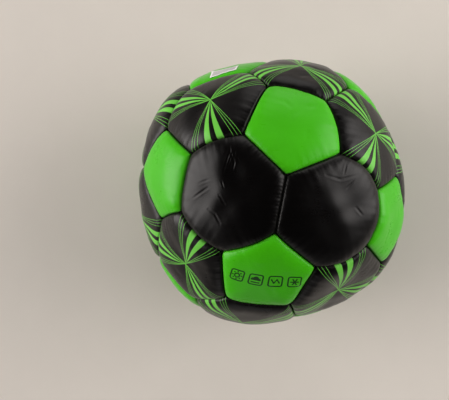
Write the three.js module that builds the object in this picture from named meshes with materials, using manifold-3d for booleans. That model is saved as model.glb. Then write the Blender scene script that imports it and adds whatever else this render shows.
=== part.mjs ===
// A stitched football of 32 panels, soft from lost air, standing on the flat that it presses in its base.
// Millimetres, +Z up. The floor is z = 0 and the ball's centre is straight above the origin.

import * as THREE from 'three';
import { mergeVertices } from 'three/addons/utils/BufferGeometryUtils.js';
import Module from 'manifold-3d';

const wasm = await Module();
wasm.setup();

// Overall shape: the ball sags into an ellipsoid, measured over the crowns of its panels
const GIRTH_RADIUS = 112;
const TOP_RISE = 106;
const BASE_FLAT_RADIUS = 50;

// Panels: foam-backed sheet, its edges turned in and sewn back to back
const SEAM_SINK = 3;
const CROWN_RUN = 6;
const ROLL_RADIUS = 1.8;
const PANEL_WALL = 2.4;
const FLANGE_DEPTH = 3.5;

// Thread that ties the turned-in edges, lying between them
const THREAD_WIDTH = 0.6;
const THREAD_HEIGHT = 0.8;
const STITCH_DEPTH = 1.2;

// Air bladder: with little air in it, it lies on the sewn edges and hangs slack behind the panels
const BLADDER_WALL = 1.2;
const BLADDER_SLACK = 1.5;

// Valve, low at the back right: a rubber patch with a stem and a sleeve, holding a pierced core
const VALVE_PLACE = { azimuth: 39, elevation: -36 };
const PATCH_RADIUS = 12;
const PATCH_THICKNESS = 1.5;
const STEM_RADIUS = 4.2;
const STEM_RECESS = 0.4;
const SLEEVE_RADIUS = 5.5;
const SLEEVE_LENGTH = 12;
const CORE_RADIUS = 2.1;
const NEEDLE_HOLE_RADIUS = 0.9;

// Price sticker on the pentagon at the back, lying nearly along its seam with the hexagon above
const STICKER_PANEL_PLACE = { azimuth: 110, elevation: 7 };
const STICKER_SEAM_PLACE = { azimuth: 123, elevation: 42 };
const STICKER_LENGTH = 20;
const STICKER_HEIGHT = 13;
const STICKER_THICKNESS = 0.25;
const STICKER_UP = 21;
const STICKER_ASIDE = -2;
const STICKER_LEAN = degrees(6);

// Clear space kept between neighbouring pieces
const CLEARANCE = 0.3;

// How far the panels stand from the way they were sewn: the ball lies turned on the floor
const TURN = new THREE.Euler(degrees(5.4), degrees(4.5), degrees(-11.3));

// Where the soft skin is pulled out of round. A pull sits at an azimuth and elevation on the ball and
// fades over its spread (degrees). It lifts the skin outward, drags it down and drags it round (mm).
const PULLS = [
  { azimuth: 85, elevation: 47, spread: 18, out: 2.5, down: 4.5, round: 1.5 },
  { azimuth: 105, elevation: 15, spread: 20, out: -3.5, down: -5, round: -5.5 },
  { azimuth: 135, elevation: 12, spread: 20, out: 6, down: -2.5, round: -1.5 },
  { azimuth: 192, elevation: 25, spread: 14, out: -6, down: -5.5, round: 3.5 },
  { azimuth: 5, elevation: 47, spread: 22, out: -3.5, down: 5.5, round: -1.5 },
  { azimuth: 317, elevation: 48, spread: 16, out: 1, down: 0, round: 5 },
  { azimuth: 285, elevation: 12, spread: 16, out: -1.5, down: 4, round: -3.5 },
  { azimuth: 55, elevation: 15, spread: 18, out: 3.5, down: -5, round: 3 },
  { azimuth: 240, elevation: 10, spread: 20, out: 4.5, down: -3, round: 0.5 },
  { azimuth: 325, elevation: 8, spread: 22, out: 4.5, down: 0.5, round: 0.5 },
  { azimuth: 139, elevation: 61, spread: 10, out: 3.5, down: 0.5, round: -1.5 },
  { azimuth: 210, elevation: 56, spread: 10, out: 0.5, down: 3, round: 3.5 },
  { azimuth: 247, elevation: 67, spread: 10, out: 2.5, down: -0.5, round: 3.5 },
  { azimuth: 345, elevation: 43, spread: 10, out: 4, down: 2, round: 1 },
  { azimuth: 316, elevation: 47, spread: 10, out: 2.5, down: 2, round: -5 },
  { azimuth: 12, elevation: 51, spread: 10, out: 2.5, down: 4, round: 4.5 },
  { azimuth: 45, elevation: 52, spread: 10, out: -0.5, down: 3.5, round: -1.5 },
  { azimuth: 277, elevation: 35, spread: 13, out: 1.5, down: -1, round: 5.5 },
  { azimuth: 249, elevation: 38, spread: 13, out: 2.5, down: 2, round: -0.5 },
  { azimuth: 348, elevation: 6, spread: 13, out: 2, down: 0, round: -2 },
  { azimuth: 127, elevation: 19, spread: 13, out: -1.5, down: -1, round: 5 },
  { azimuth: 77, elevation: 25, spread: 14, out: 1, down: -5, round: -1 },
  { azimuth: 219, elevation: 36, spread: 14, out: -4.5, down: 0, round: 4 },
  { azimuth: 304, elevation: 28, spread: 14, out: -4.5, down: 0.5, round: 1 },
  { azimuth: 261, elevation: 16, spread: 14, out: 2, down: -5, round: -3 },
];

// Fineness of the faceted surfaces
const STEPS_PER_SIDE = 3;
const ROLL_STEPS = 2;
const OUTER_RINGS = [0.7, 0.35];
const INNER_RINGS = [0.55];
const BLADDER_RINGS = [0.6];
const ROUND_STEPS = 24;
const STICKER_STEPS = [4, 3];

// Sharpness of the blend between the distances to a panel's seams
const SEAM_BLEND = 4;

// Sizes that follow from the ones above
const CENTRE_HEIGHT = TOP_RISE * Math.sqrt(1 - (BASE_FLAT_RADIUS / GIRTH_RADIUS) ** 2);
const HALF_SEAM = THREAD_WIDTH / 2 + CLEARANCE;
const FLANGE_FOOT = ROLL_RADIUS + FLANGE_DEPTH;

const GREEN_SHEET = { color: 0x46ae24, roughness: 0.32, metalness: 0 };
const BLACK_SHEET = { color: 0x0c0c0d, roughness: 0.28, metalness: 0 };
const THREAD = { color: 0x161616, roughness: 0.8, metalness: 0 };
const BLADDER_RUBBER = { color: 0x1c1b1a, roughness: 0.7, metalness: 0 };
const VALVE_RUBBER = { color: 0x121212, roughness: 0.55, metalness: 0 };
const CORE_RUBBER = { color: 0x2a2a2a, roughness: 0.6, metalness: 0 };
const WHITE_PAPER = { color: 0xe6e6e4, roughness: 0.6, metalness: 0 };

function degrees(angle) {
  return THREE.MathUtils.degToRad(angle);
}

// Pattern of the panels: pentagons round the corners of an icosahedron, hexagons over its faces

function azimuthOf(direction) {
  return Math.atan2(direction.y, direction.x);
}

function directionAt({ azimuth, elevation }) {
  const level = Math.cos(degrees(elevation));
  const angle = degrees(azimuth);
  return new THREE.Vector3(level * Math.cos(angle), level * Math.sin(angle), Math.sin(degrees(elevation)));
}

function nearest(candidates, aim, directionOf) {
  return candidates.reduce((best, candidate) => (
    directionOf(candidate).dot(aim) > directionOf(best).dot(aim) ? candidate : best
  ));
}

// Numbers the panels from the top down and round
function fromTheTop(first, second) {
  const levels = Math.round(second.z * 1000) - Math.round(first.z * 1000);
  return levels || azimuthOf(first) - azimuthOf(second);
}

function icosahedronCorners() {
  const golden = (1 + Math.sqrt(5)) / 2;
  const corners = [];
  for (const short of [-1, 1]) {
    for (const long of [-golden, golden]) {
      corners.push(new THREE.Vector3(0, short, long));
      corners.push(new THREE.Vector3(short, long, 0));
      corners.push(new THREE.Vector3(long, 0, short));
    }
  }
  return corners.sort(fromTheTop);
}

function areNeighbours(first, second) {
  const spacing = first.distanceTo(second);
  return spacing > 1 && spacing < 3;
}

// A seam corner lies a third of the way from one pentagon's centre to the next one's
function seamCorner(pentagons, from, to) {
  const direction = pentagons[from].clone().multiplyScalar(2).add(pentagons[to]).normalize();
  return { id: `${from}-${to}`, direction: direction.applyEuler(TURN) };
}

// Puts the corners of a panel in order round its centre, anticlockwise from outside
function inOrder(centre, corners) {
  const across = new THREE.Vector3().crossVectors(centre, corners[0].direction).normalize();
  const up = new THREE.Vector3().crossVectors(across, centre);
  const angle = (corner) => Math.atan2(corner.direction.dot(across), corner.direction.dot(up));
  return corners.sort((first, second) => angle(first) - angle(second));
}

function makePanel(name, centre, corners) {
  const ordered = inOrder(centre, corners);
  const sides = ordered.map((corner, index) => {
    const next = ordered[(index + 1) % ordered.length];
    return new THREE.Vector3().crossVectors(corner.direction, next.direction).normalize();
  });
  return { name, centre, corners: ordered, sides };
}

function pentagonPanels(pentagons) {
  return pentagons.map((middle, index) => {
    const corners = [];
    pentagons.forEach((other, to) => {
      if (areNeighbours(middle, other)) corners.push(seamCorner(pentagons, index, to));
    });
    const centre = middle.clone().normalize().applyEuler(TURN);
    return makePanel(`pentagon_panel_${numbered(index)}`, centre, corners);
  });
}

function hexagonPanels(pentagons) {
  const faces = [];
  for (let a = 0; a < pentagons.length; a += 1) {
    for (let b = a + 1; b < pentagons.length; b += 1) {
      for (let c = b + 1; c < pentagons.length; c += 1) {
        const [first, second, third] = [pentagons[a], pentagons[b], pentagons[c]];
        const meet = areNeighbours(first, second) && areNeighbours(second, third)
          && areNeighbours(first, third);
        if (meet) faces.push({ around: [a, b, c], middle: first.clone().add(second).add(third) });
      }
    }
  }
  faces.sort((first, second) => fromTheTop(first.middle, second.middle));
  return faces.map(({ around, middle }, index) => {
    const corners = around.flatMap((from) => around
      .filter((to) => to !== from)
      .map((to) => seamCorner(pentagons, from, to)));
    const centre = middle.clone().normalize().applyEuler(TURN);
    return makePanel(`hexagon_panel_${numbered(index)}`, centre, corners);
  });
}

function numbered(index) {
  return String(index + 1).padStart(2, '0');
}

// The soft skin: where a direction of the pattern ends up on the ball

const pulls = PULLS.map((pull) => {
  const middle = directionAt(pull);
  const sideways = directionAt({ azimuth: pull.azimuth + 90, elevation: 0 });
  const downward = new THREE.Vector3().crossVectors(sideways, middle);
  const drag = downward.multiplyScalar(pull.down).addScaledVector(sideways, pull.round);
  return { middle, spread: degrees(pull.spread), out: pull.out, drag };
});

function pullAt(direction) {
  const dragged = direction.clone();
  let out = 0;
  for (const pull of pulls) {
    const away = direction.angleTo(pull.middle) / pull.spread;
    const weight = Math.exp(-away * away);
    dragged.addScaledVector(pull.drag, weight / GIRTH_RADIUS);
    out += weight * pull.out;
  }
  return { direction: dragged.normalize(), out };
}

function crownRadius(direction) {
  const level = Math.hypot(direction.x, direction.y) / GIRTH_RADIUS;
  return 1 / Math.hypot(level, direction.z / TOP_RISE);
}

// A point of the ball, some way below its skin. The crown is 0 along a seam and 1 in the middle of a
// panel, and the floor presses every layer flat.
function pointOf(direction, crown, below) {
  const pulled = pullAt(direction);
  const drop = -pulled.direction.z;
  let radius = crownRadius(pulled.direction) + pulled.out - SEAM_SINK * (1 - crown) - below;
  if (drop > 0) radius = Math.min(radius, (CENTRE_HEIGHT - below) / drop);
  return pulled.direction.clone().multiplyScalar(radius);
}

// Distance from the nearest seams, blended so that the panel has no ridges
function seamDistance(direction, panel) {
  let sum = 0;
  for (const side of panel.sides) {
    const distance = GIRTH_RADIUS * Math.asin(direction.dot(side));
    if (distance < 0.001) return 0;
    sum += distance ** -SEAM_BLEND;
  }
  return sum ** (-1 / SEAM_BLEND);
}

function crownAt(direction, panel) {
  const rise = (distance) => 1 - Math.exp(-distance / CROWN_RUN);
  return rise(seamDistance(direction, panel)) / rise(seamDistance(panel.centre, panel));
}

// Outlines inside a panel

function insetCorner(before, after, inset) {
  const share = Math.sin(inset / GIRTH_RADIUS) / (1 + before.dot(after));
  const inward = before.clone().add(after).multiplyScalar(share);
  const outward = new THREE.Vector3().crossVectors(before, after).normalize();
  return inward.addScaledVector(outward, Math.sqrt(1 - inward.lengthSq()));
}

// Directions along a line that runs round the panel at a distance inside its seams
function outline(panel, inset, stepsPerSide) {
  const { sides } = panel;
  const count = sides.length;
  const corners = sides.map((side, index) => insetCorner(sides[(index + count - 1) % count], side, inset));
  const sine = Math.sin(inset / GIRTH_RADIUS);
  return sides.flatMap((side, index) => {
    const start = corners[index];
    const end = corners[(index + 1) % count];
    return Array.from({ length: stepsPerSide }, (_, step) => {
      const direction = start.clone().lerp(end, step / stepsPerSide);
      direction.addScaledVector(side, -direction.dot(side));
      direction.normalize().multiplyScalar(Math.sqrt(1 - sine * sine));
      return direction.addScaledVector(side, sine);
    });
  });
}

function drawnIn(panel, ring, share) {
  return ring.map((direction) => panel.centre.clone().lerp(direction, share).normalize());
}

function skinRing(panel, ring, below) {
  return ring.map((direction) => pointOf(direction, crownAt(direction, panel), below));
}

function seamRing(ring, below) {
  return ring.map((direction) => pointOf(direction, 0, below));
}

// Triangles

function fan(triangles, tip, ring, facesOut) {
  ring.forEach((point, index) => {
    const next = ring[(index + 1) % ring.length];
    triangles.push(facesOut ? [tip, point, next] : [tip, next, point]);
  });
}

// A band between two rings of as many points, the first being the inner one as seen from its outside
function band(triangles, first, second) {
  first.forEach((point, index) => {
    const next = (index + 1) % first.length;
    triangles.push([point, second[index], second[next]]);
    triangles.push([point, second[next], first[next]]);
  });
}

function geometryOf(triangles) {
  const geometry = new THREE.BufferGeometry().setFromPoints(triangles.flat());
  return mergeVertices(geometry, 0.0005);
}

function turnedOver(triangles) {
  return triangles.map(([first, second, third]) => [first, third, second]);
}

// Solids for cutting

function solidOf(geometry) {
  const bare = geometry.clone();
  bare.deleteAttribute('normal');
  bare.deleteAttribute('uv');
  const merged = mergeVertices(bare, 0.0005);
  return new wasm.Manifold(new wasm.Mesh({
    numProp: 3,
    vertProperties: merged.getAttribute('position').array,
    triVerts: new Uint32Array(merged.index.array),
  }));
}

function geometryFrom(solid) {
  const { vertProperties, triVerts, numProp } = solid.getMesh();
  const geometry = new THREE.BufferGeometry();
  const positions = new Float32Array((vertProperties.length / numProp) * 3);
  for (let index = 0; index * numProp < vertProperties.length; index += 1) {
    positions.set(vertProperties.subarray(index * numProp, index * numProp + 3), index * 3);
  }
  geometry.setAttribute('position', new THREE.BufferAttribute(positions, 3));
  geometry.setIndex(Array.from(triVerts));
  return geometry;
}

// A cylinder along the valve's axis, for the holes that the valve passes through
function boreAlong(axis, radius) {
  const cylinder = new THREE.CylinderGeometry(radius, radius, GIRTH_RADIUS, ROUND_STEPS);
  cylinder.translate(0, GIRTH_RADIUS, 0);
  return solidOf(cylinder.applyQuaternion(upTo(axis)));
}

function upTo(axis) {
  return new THREE.Quaternion().setFromUnitVectors(new THREE.Vector3(0, 1, 0), axis);
}

// Pieces

// A panel: the sheet bulges, rolls over at its edges and turns in to a flange that is sewn to the next
function panelGeometry(panel) {
  const triangles = [];
  const roll = [];
  for (let step = ROLL_STEPS; step >= 0; step -= 1) {
    const angle = (step / ROLL_STEPS) * (Math.PI / 2);
    const inset = HALF_SEAM + ROLL_RADIUS * (1 - Math.cos(angle));
    const below = ROLL_RADIUS * (1 - Math.sin(angle));
    roll.push(skinRing(panel, outline(panel, inset, STEPS_PER_SIDE), below));
  }
  const shoulder = outline(panel, HALF_SEAM + ROLL_RADIUS, STEPS_PER_SIDE);
  const edge = outline(panel, HALF_SEAM, STEPS_PER_SIDE);
  const inside = outline(panel, HALF_SEAM + PANEL_WALL, STEPS_PER_SIDE);
  const rings = [
    ...OUTER_RINGS.map((share) => skinRing(panel, drawnIn(panel, shoulder, share), 0)).reverse(),
    ...roll,
    seamRing(edge, FLANGE_FOOT),
    seamRing(inside, FLANGE_FOOT),
    skinRing(panel, inside, PANEL_WALL),
    ...INNER_RINGS.map((share) => skinRing(panel, drawnIn(panel, inside, share), PANEL_WALL)),
  ];
  fan(triangles, pointOf(panel.centre, 1, 0), rings[0], true);
  for (let index = 0; index + 1 < rings.length; index += 1) band(triangles, rings[index], rings[index + 1]);
  fan(triangles, pointOf(panel.centre, 1, PANEL_WALL), rings[rings.length - 1], false);
  return geometryOf(triangles);
}

// The thread: a net that follows every seam between the two flanges, joined at the seam corners
function threadGeometry(panels) {
  const triangles = [];
  const top = ROLL_RADIUS + STITCH_DEPTH;
  const bottom = top + THREAD_HEIGHT;
  const seams = new Map();
  const knots = new Map();
  for (const panel of panels) {
    const line = outline(panel, THREAD_WIDTH / 2, STEPS_PER_SIDE);
    const upper = seamRing(line, top);
    const lower = seamRing(line, bottom);
    band(triangles, lower, upper);
    panel.corners.forEach((corner, side) => {
      const next = panel.corners[(side + 1) % panel.corners.length];
      const stations = Array.from({ length: STEPS_PER_SIDE + 1 }, (_, step) => {
        const index = (side * STEPS_PER_SIDE + step) % line.length;
        return { upper: upper[index], lower: lower[index] };
      });
      seams.set(`${corner.id} ${next.id}`, stations);
      const knot = knots.get(corner.id) ?? [];
      knot.push({ centre: panel.centre, corner, ...stations[0] });
      knots.set(corner.id, knot);
    });
  }
  for (const [ends, near] of seams) {
    const [start, end] = ends.split(' ');
    if (start > end) continue;
    const far = seams.get(`${end} ${start}`);
    closeSeam(triangles, near, [...far].reverse());
  }
  for (const knot of knots.values()) closeKnot(triangles, knot);
  return geometryOf(triangles);
}

// Covers the strip of thread between the panel on its left and the panel on its right
function closeSeam(triangles, left, right) {
  for (let step = 0; step + 1 < left.length; step += 1) {
    const [a, b] = [left[step], left[step + 1]];
    const [c, d] = [right[step], right[step + 1]];
    triangles.push([a.upper, c.upper, d.upper], [a.upper, d.upper, b.upper]);
    triangles.push([a.lower, d.lower, c.lower], [a.lower, b.lower, d.lower]);
  }
}

// Covers the small triangle where three seams meet
function closeKnot(triangles, knot) {
  const axis = knot[0].corner.direction;
  const start = knot[0].centre.clone().cross(axis);
  const side = axis.clone().cross(start);
  const angle = ({ centre }) => Math.atan2(centre.dot(side), centre.dot(start));
  const [first, second, third] = knot.sort((one, other) => angle(one) - angle(other));
  triangles.push([first.upper, second.upper, third.upper]);
  triangles.push([first.lower, third.lower, second.lower]);
}

// One skin of the bladder: it lies over the flanges and swells into the back of every panel
function bladderSkin(panels, inward) {
  const triangles = [];
  const foot = HALF_SEAM + PANEL_WALL + CLEARANCE;
  const slack = PANEL_WALL + BLADDER_SLACK + inward;
  for (const panel of panels) {
    const along = outline(panel, foot, 1);
    const rings = [
      ...BLADDER_RINGS.map((share) => skinRing(panel, drawnIn(panel, along, share), slack)),
      seamRing(along, FLANGE_FOOT + inward),
      seamRing(panel.corners.map((corner) => corner.direction), FLANGE_FOOT + inward),
    ];
    fan(triangles, pointOf(panel.centre, 1, slack), rings[0], true);
    for (let index = 0; index + 1 < rings.length; index += 1) {
      band(triangles, rings[index], rings[index + 1]);
    }
  }
  return geometryOf(triangles);
}

function bladderGeometry(panels, valve) {
  const shell = solidOf(bladderSkin(panels, CLEARANCE))
    .subtract(solidOf(bladderSkin(panels, CLEARANCE + BLADDER_WALL)));
  return geometryFrom(shell.subtract(boreAlong(valve.axis, PATCH_RADIUS + CLEARANCE)));
}

// Where the valve sits: the middle of its panel, and how the back of the panel falls away around it
function valveSeat(panel) {
  const middle = pointOf(panel.centre, 1, 0);
  const axis = middle.clone().normalize();
  const back = pointOf(panel.centre, 1, PANEL_WALL).length();
  const ring = outline(panel, HALF_SEAM + PANEL_WALL, STEPS_PER_SIDE);
  const fall = skinRing(panel, drawnIn(panel, ring, INNER_RINGS[INNER_RINGS.length - 1]), PANEL_WALL)
    .map((point) => (back - point.dot(axis)) / point.clone().projectOnPlane(axis).length());
  const top = middle.length() - STEM_RECESS;
  return { panel, axis, top, back: back - CLEARANCE, slope: Math.max(...fall) };
}

// Turns a closed profile of [radius, height] round the valve's axis
function valvePiece(profile) {
  const points = profile.map(([radius, height]) => new THREE.Vector2(radius, height));
  points.push(points[0].clone());
  return new THREE.LatheGeometry(points, ROUND_STEPS);
}

// Rubber valve: stem through the panel, dished patch in the bladder's hole, sleeve hanging inside
function valveHousingGeometry(valve) {
  const bore = CORE_RADIUS + CLEARANCE;
  const stemFoot = valve.back - STEM_RADIUS * valve.slope;
  const patchRim = valve.back - PATCH_RADIUS * valve.slope;
  const patchUnder = patchRim - PATCH_THICKNESS;
  const sleeveEnd = patchUnder - SLEEVE_LENGTH;
  return valvePiece([
    [bore, sleeveEnd],
    [SLEEVE_RADIUS, sleeveEnd],
    [SLEEVE_RADIUS, patchUnder],
    [PATCH_RADIUS, patchUnder],
    [PATCH_RADIUS, patchRim],
    [STEM_RADIUS, stemFoot],
    [STEM_RADIUS, valve.top],
    [bore, valve.top],
  ]);
}

// Pierced plug that a pump needle goes through
function valveCoreGeometry(valve) {
  const bottom = valve.back - PATCH_RADIUS * valve.slope - PATCH_THICKNESS - SLEEVE_LENGTH;
  const top = valve.top - STEM_RECESS;
  return valvePiece([
    [NEEDLE_HOLE_RADIUS, bottom],
    [CORE_RADIUS, bottom],
    [CORE_RADIUS, top],
    [NEEDLE_HOLE_RADIUS, top],
  ]);
}

// Paper sticker, bent over the panel and lying nearly along the seam that faces the given direction
function stickerGeometry(panel, aim) {
  const side = nearest(panel.sides, aim.clone().negate(), (normal) => normal);
  const up = side.clone().negate().projectOnPlane(panel.centre).normalize();
  const along = new THREE.Vector3().crossVectors(up, panel.centre);
  const [columns, rows] = STICKER_STEPS;
  const placed = (column, row, lift) => {
    const across = STICKER_LENGTH * (column / columns - 0.5);
    const height = STICKER_HEIGHT * (row / rows - 0.5);
    const aside = STICKER_ASIDE + across * Math.cos(STICKER_LEAN) - height * Math.sin(STICKER_LEAN);
    const rise = STICKER_UP + across * Math.sin(STICKER_LEAN) + height * Math.cos(STICKER_LEAN);
    const direction = panel.centre.clone().multiplyScalar(GIRTH_RADIUS);
    direction.addScaledVector(along, aside).addScaledVector(up, rise).normalize();
    return pointOf(direction, crownAt(direction, panel), -lift);
  };
  const triangles = [];
  const layer = (lift, facesOut) => {
    for (let column = 0; column < columns; column += 1) {
      for (let row = 0; row < rows; row += 1) {
        const a = placed(column, row, lift);
        const b = placed(column + 1, row, lift);
        const c = placed(column + 1, row + 1, lift);
        const d = placed(column, row + 1, lift);
        const faces = [[a, b, c], [a, c, d]];
        triangles.push(...(facesOut ? faces : turnedOver(faces)));
      }
    }
  };
  const rim = (lift) => {
    const points = [];
    for (let column = 0; column < columns; column += 1) points.push(placed(column, 0, lift));
    for (let row = 0; row < rows; row += 1) points.push(placed(columns, row, lift));
    for (let column = columns; column > 0; column -= 1) points.push(placed(column, rows, lift));
    for (let row = rows; row > 0; row -= 1) points.push(placed(0, row, lift));
    return points;
  };
  layer(CLEARANCE + STICKER_THICKNESS, true);
  layer(CLEARANCE, false);
  band(triangles, rim(CLEARANCE + STICKER_THICKNESS), rim(CLEARANCE));
  return geometryOf(triangles);
}

// Assembly

const ball = new THREE.Group();
ball.position.z = CENTRE_HEIGHT;

function addPiece(name, geometry, finish) {
  const mesh = new THREE.Mesh(geometry, new THREE.MeshStandardMaterial(finish));
  mesh.name = name;
  mesh.geometry.computeVertexNormals();
  ball.add(mesh);
  return mesh;
}

const pentagonCentres = icosahedronCorners();
const pentagons = pentagonPanels(pentagonCentres);
const hexagons = hexagonPanels(pentagonCentres);
const panels = [...pentagons, ...hexagons];

const middleOf = (panel) => panel.centre;
const valve = valveSeat(nearest(hexagons, directionAt(VALVE_PLACE), middleOf));
const stickerPanel = nearest(pentagons, directionAt(STICKER_PANEL_PLACE), middleOf);

for (const panel of pentagons) addPiece(panel.name, panelGeometry(panel), GREEN_SHEET);
for (const panel of hexagons) {
  const sheet = panelGeometry(panel);
  const pierced = panel === valve.panel
    ? geometryFrom(solidOf(sheet).subtract(boreAlong(valve.axis, STEM_RADIUS + CLEARANCE)))
    : sheet;
  addPiece(panel.name, pierced, BLACK_SHEET);
}
addPiece('seam_thread', threadGeometry(panels), THREAD);
addPiece('bladder', bladderGeometry(panels, valve), BLADDER_RUBBER);
addPiece('valve_housing', valveHousingGeometry(valve), VALVE_RUBBER).quaternion.copy(upTo(valve.axis));
addPiece('valve_core', valveCoreGeometry(valve), CORE_RUBBER).quaternion.copy(upTo(valve.axis));
addPiece('price_sticker', stickerGeometry(stickerPanel, directionAt(STICKER_SEAM_PLACE)), WHITE_PAPER);

export default ball;
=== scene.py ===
import math
from itertools import combinations, permutations

import bpy
import numpy as np
from bpy.props import FloatProperty, FloatVectorProperty, IntProperty, PointerProperty
from mathutils import Matrix, Vector


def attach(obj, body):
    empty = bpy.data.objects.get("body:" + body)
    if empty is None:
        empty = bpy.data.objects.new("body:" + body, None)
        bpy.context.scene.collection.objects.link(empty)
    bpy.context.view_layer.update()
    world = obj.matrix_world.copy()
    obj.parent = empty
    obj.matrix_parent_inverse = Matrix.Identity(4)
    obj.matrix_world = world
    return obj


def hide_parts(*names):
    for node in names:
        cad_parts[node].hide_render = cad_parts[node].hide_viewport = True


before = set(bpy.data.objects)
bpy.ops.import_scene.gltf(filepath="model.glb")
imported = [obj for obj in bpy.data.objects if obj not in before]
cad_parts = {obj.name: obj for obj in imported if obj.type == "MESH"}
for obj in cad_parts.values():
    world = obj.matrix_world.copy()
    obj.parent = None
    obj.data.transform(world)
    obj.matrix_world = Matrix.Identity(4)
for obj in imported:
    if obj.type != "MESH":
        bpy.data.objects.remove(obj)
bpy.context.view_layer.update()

bl_info = {
    "name": "Soft stitched football",
    "version": (1, 0, 0),
    "blender": (4, 5, 0),
    "location": "3D View > Sidebar > Football",
    "description": "Builds a let-down football of 32 sewn panels with its valve, and the studio round it",
    "category": "Mesh",
}

MM = 0.001

# The ball lies turned on the floor: degrees about X, then Y, then Z of the sewn pattern
PATTERN_TURN = (5.4, 4.5, -11.3)

# Where the soft skin is pulled out of round: azimuth, elevation and spread in degrees,
# then how far the skin is lifted out, dragged down and dragged round in millimetres
PULLS = (
    (85, 47, 18, 2.5, 4.5, 1.5),
    (105, 15, 20, -3.5, -5, -5.5),
    (135, 12, 20, 6, -2.5, -1.5),
    (192, 25, 14, -6, -5.5, 3.5),
    (5, 47, 22, -3.5, 5.5, -1.5),
    (317, 48, 16, 1, 0, 5),
    (285, 12, 16, -1.5, 4, -3.5),
    (55, 15, 18, 3.5, -5, 3),
    (240, 10, 20, 4.5, -3, 0.5),
    (325, 8, 22, 4.5, 0.5, 0.5),
    (139, 61, 10, 3.5, 0.5, -1.5),
    (210, 56, 10, 0.5, 3, 3.5),
    (247, 67, 10, 2.5, -0.5, 3.5),
    (345, 43, 10, 4, 2, 1),
    (316, 47, 10, 2.5, 2, -5),
    (12, 51, 10, 2.5, 4, 4.5),
    (45, 52, 10, -0.5, 3.5, -1.5),
    (277, 35, 13, 1.5, -1, 5.5),
    (249, 38, 13, 2.5, 2, -0.5),
    (348, 6, 13, 2, 0, -2),
    (127, 19, 13, -1.5, -1, 5),
    (77, 25, 14, 1, -5, -1),
    (219, 36, 14, -4.5, 0, 4),
    (304, 28, 14, -4.5, 0.5, 1),
    (261, 16, 14, 2, -5, -3),
)

# Panels with something of their own. The sticker lies along the seam that faces a direction,
# which is given by its azimuth and elevation in degrees.
PLAIN_BLACK_PANELS = ("hexagon_panel_01", "hexagon_panel_02")
SYMBOL_PANEL = "pentagon_panel_01"
VALVE_PANEL = "hexagon_panel_17"
STICKER_PANEL = "pentagon_panel_08"
STICKER_SEAM_PLACE = (123, 42)

# Creases pressed into the two top panels: depth, width and the points of the line, in
# millimetres on the panel's own plane. One of negative depth is a soft fold that stands up.
CREASES = {
    "hexagon_panel_02": (
        (-0.80, 6.5, ((-9, 34), (-6.5, 15), (-6, -2), (-8, -14), (-3, -23))),
        (0.26, 0.6, ((-6.5, 36), (-4.5, 30.5), (-6, 15))),
        (0.20, 0.5, ((-3, 29.5), (-3.5, 22.5), (-4.5, 18.5))),
        (0.24, 0.6, ((-4, 29.5), (0.5, 23.5), (0.5, 18))),
        (0.18, 0.5, ((-1, 30.5), (4.5, 24))),
        (0.16, 0.6, ((-1, 36.5), (-1, 30.5), (0, 26))),
        (0.28, 0.7, ((-12.5, -13.5), (-6.5, -16), (-1.5, -22))),
        (0.20, 0.6, ((-6, -1.5), (0, -8))),
        (0.18, 0.6, ((-5.5, 8), (-3, 3.5))),
        (0.16, 0.8, ((-27.5, -9), (-15.5, 1.5))),
        (0.14, 0.7, ((-25, 2.5), (-15.5, 7.5))),
    ),
    "hexagon_panel_01": (
        (-0.50, 6.5, ((12, -22), (-2, -2.5), (-16.5, 20))),
        (0.22, 0.8, ((12.5, -28.5), (1, -26), (-12, -29.5))),
        (0.22, 0.7, ((-9.5, -25), (-5, -19.5))),
        (0.22, 0.8, ((-15.5, -7), (-21.5, -1.5))),
        (0.15, 0.7, ((-2.5, -38), (-1, -30))),
    ),
}

# Sharpness of the blend between the distances to a panel's seams, the least length that counts,
# and how steeply a direction has to point down before the floor can stop it
SEAM_BLEND = 4
LEAST_LENGTH = 0.001 * MM
LEAST_DROP = 0.01


# Plain sums

def unit(vectors):
    return vectors / np.linalg.norm(vectors, axis=-1, keepdims=True)


def direction_at(azimuth, elevation):
    """Unit direction at two angles in degrees."""
    turn = math.radians(azimuth)
    rise = math.radians(elevation)
    level = math.cos(rise)
    return np.array((level * math.cos(turn), level * math.sin(turn), math.sin(rise)))


def angles_from(middle, directions):
    return np.arccos(np.clip(directions @ middle, -1, 1))


def spokes(count, right, above):
    """Points round a circle, from the ends of the two arms that span it."""
    angles = np.arange(count) * 2 * math.pi / count
    return np.cos(angles)[:, None] * right + np.sin(angles)[:, None] * above


def bell(away):
    return np.exp(-away * away)


def fading(distance, reach):
    return np.exp(-distance / reach)


def linear(red, green, blue):
    """A colour written as screen values from 0 to 255, taken off the sRGB curve for the shaders."""
    channels = []
    for value in (red, green, blue):
        share = value / 255
        channels.append(share / 12.92 if share <= 0.04045 else ((share + 0.055) / 1.055) ** 2.4)
    return (*channels, 1.0)


# Sizes and colours

def length_setting(name, millimetres, description):
    return FloatProperty(name=name, description=description, default=millimetres * MM, unit="LENGTH")


def colour_setting(name, screen_values, description):
    return FloatVectorProperty(
        name=name, description=description, subtype="COLOR", size=4, default=linear(*screen_values))


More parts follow.
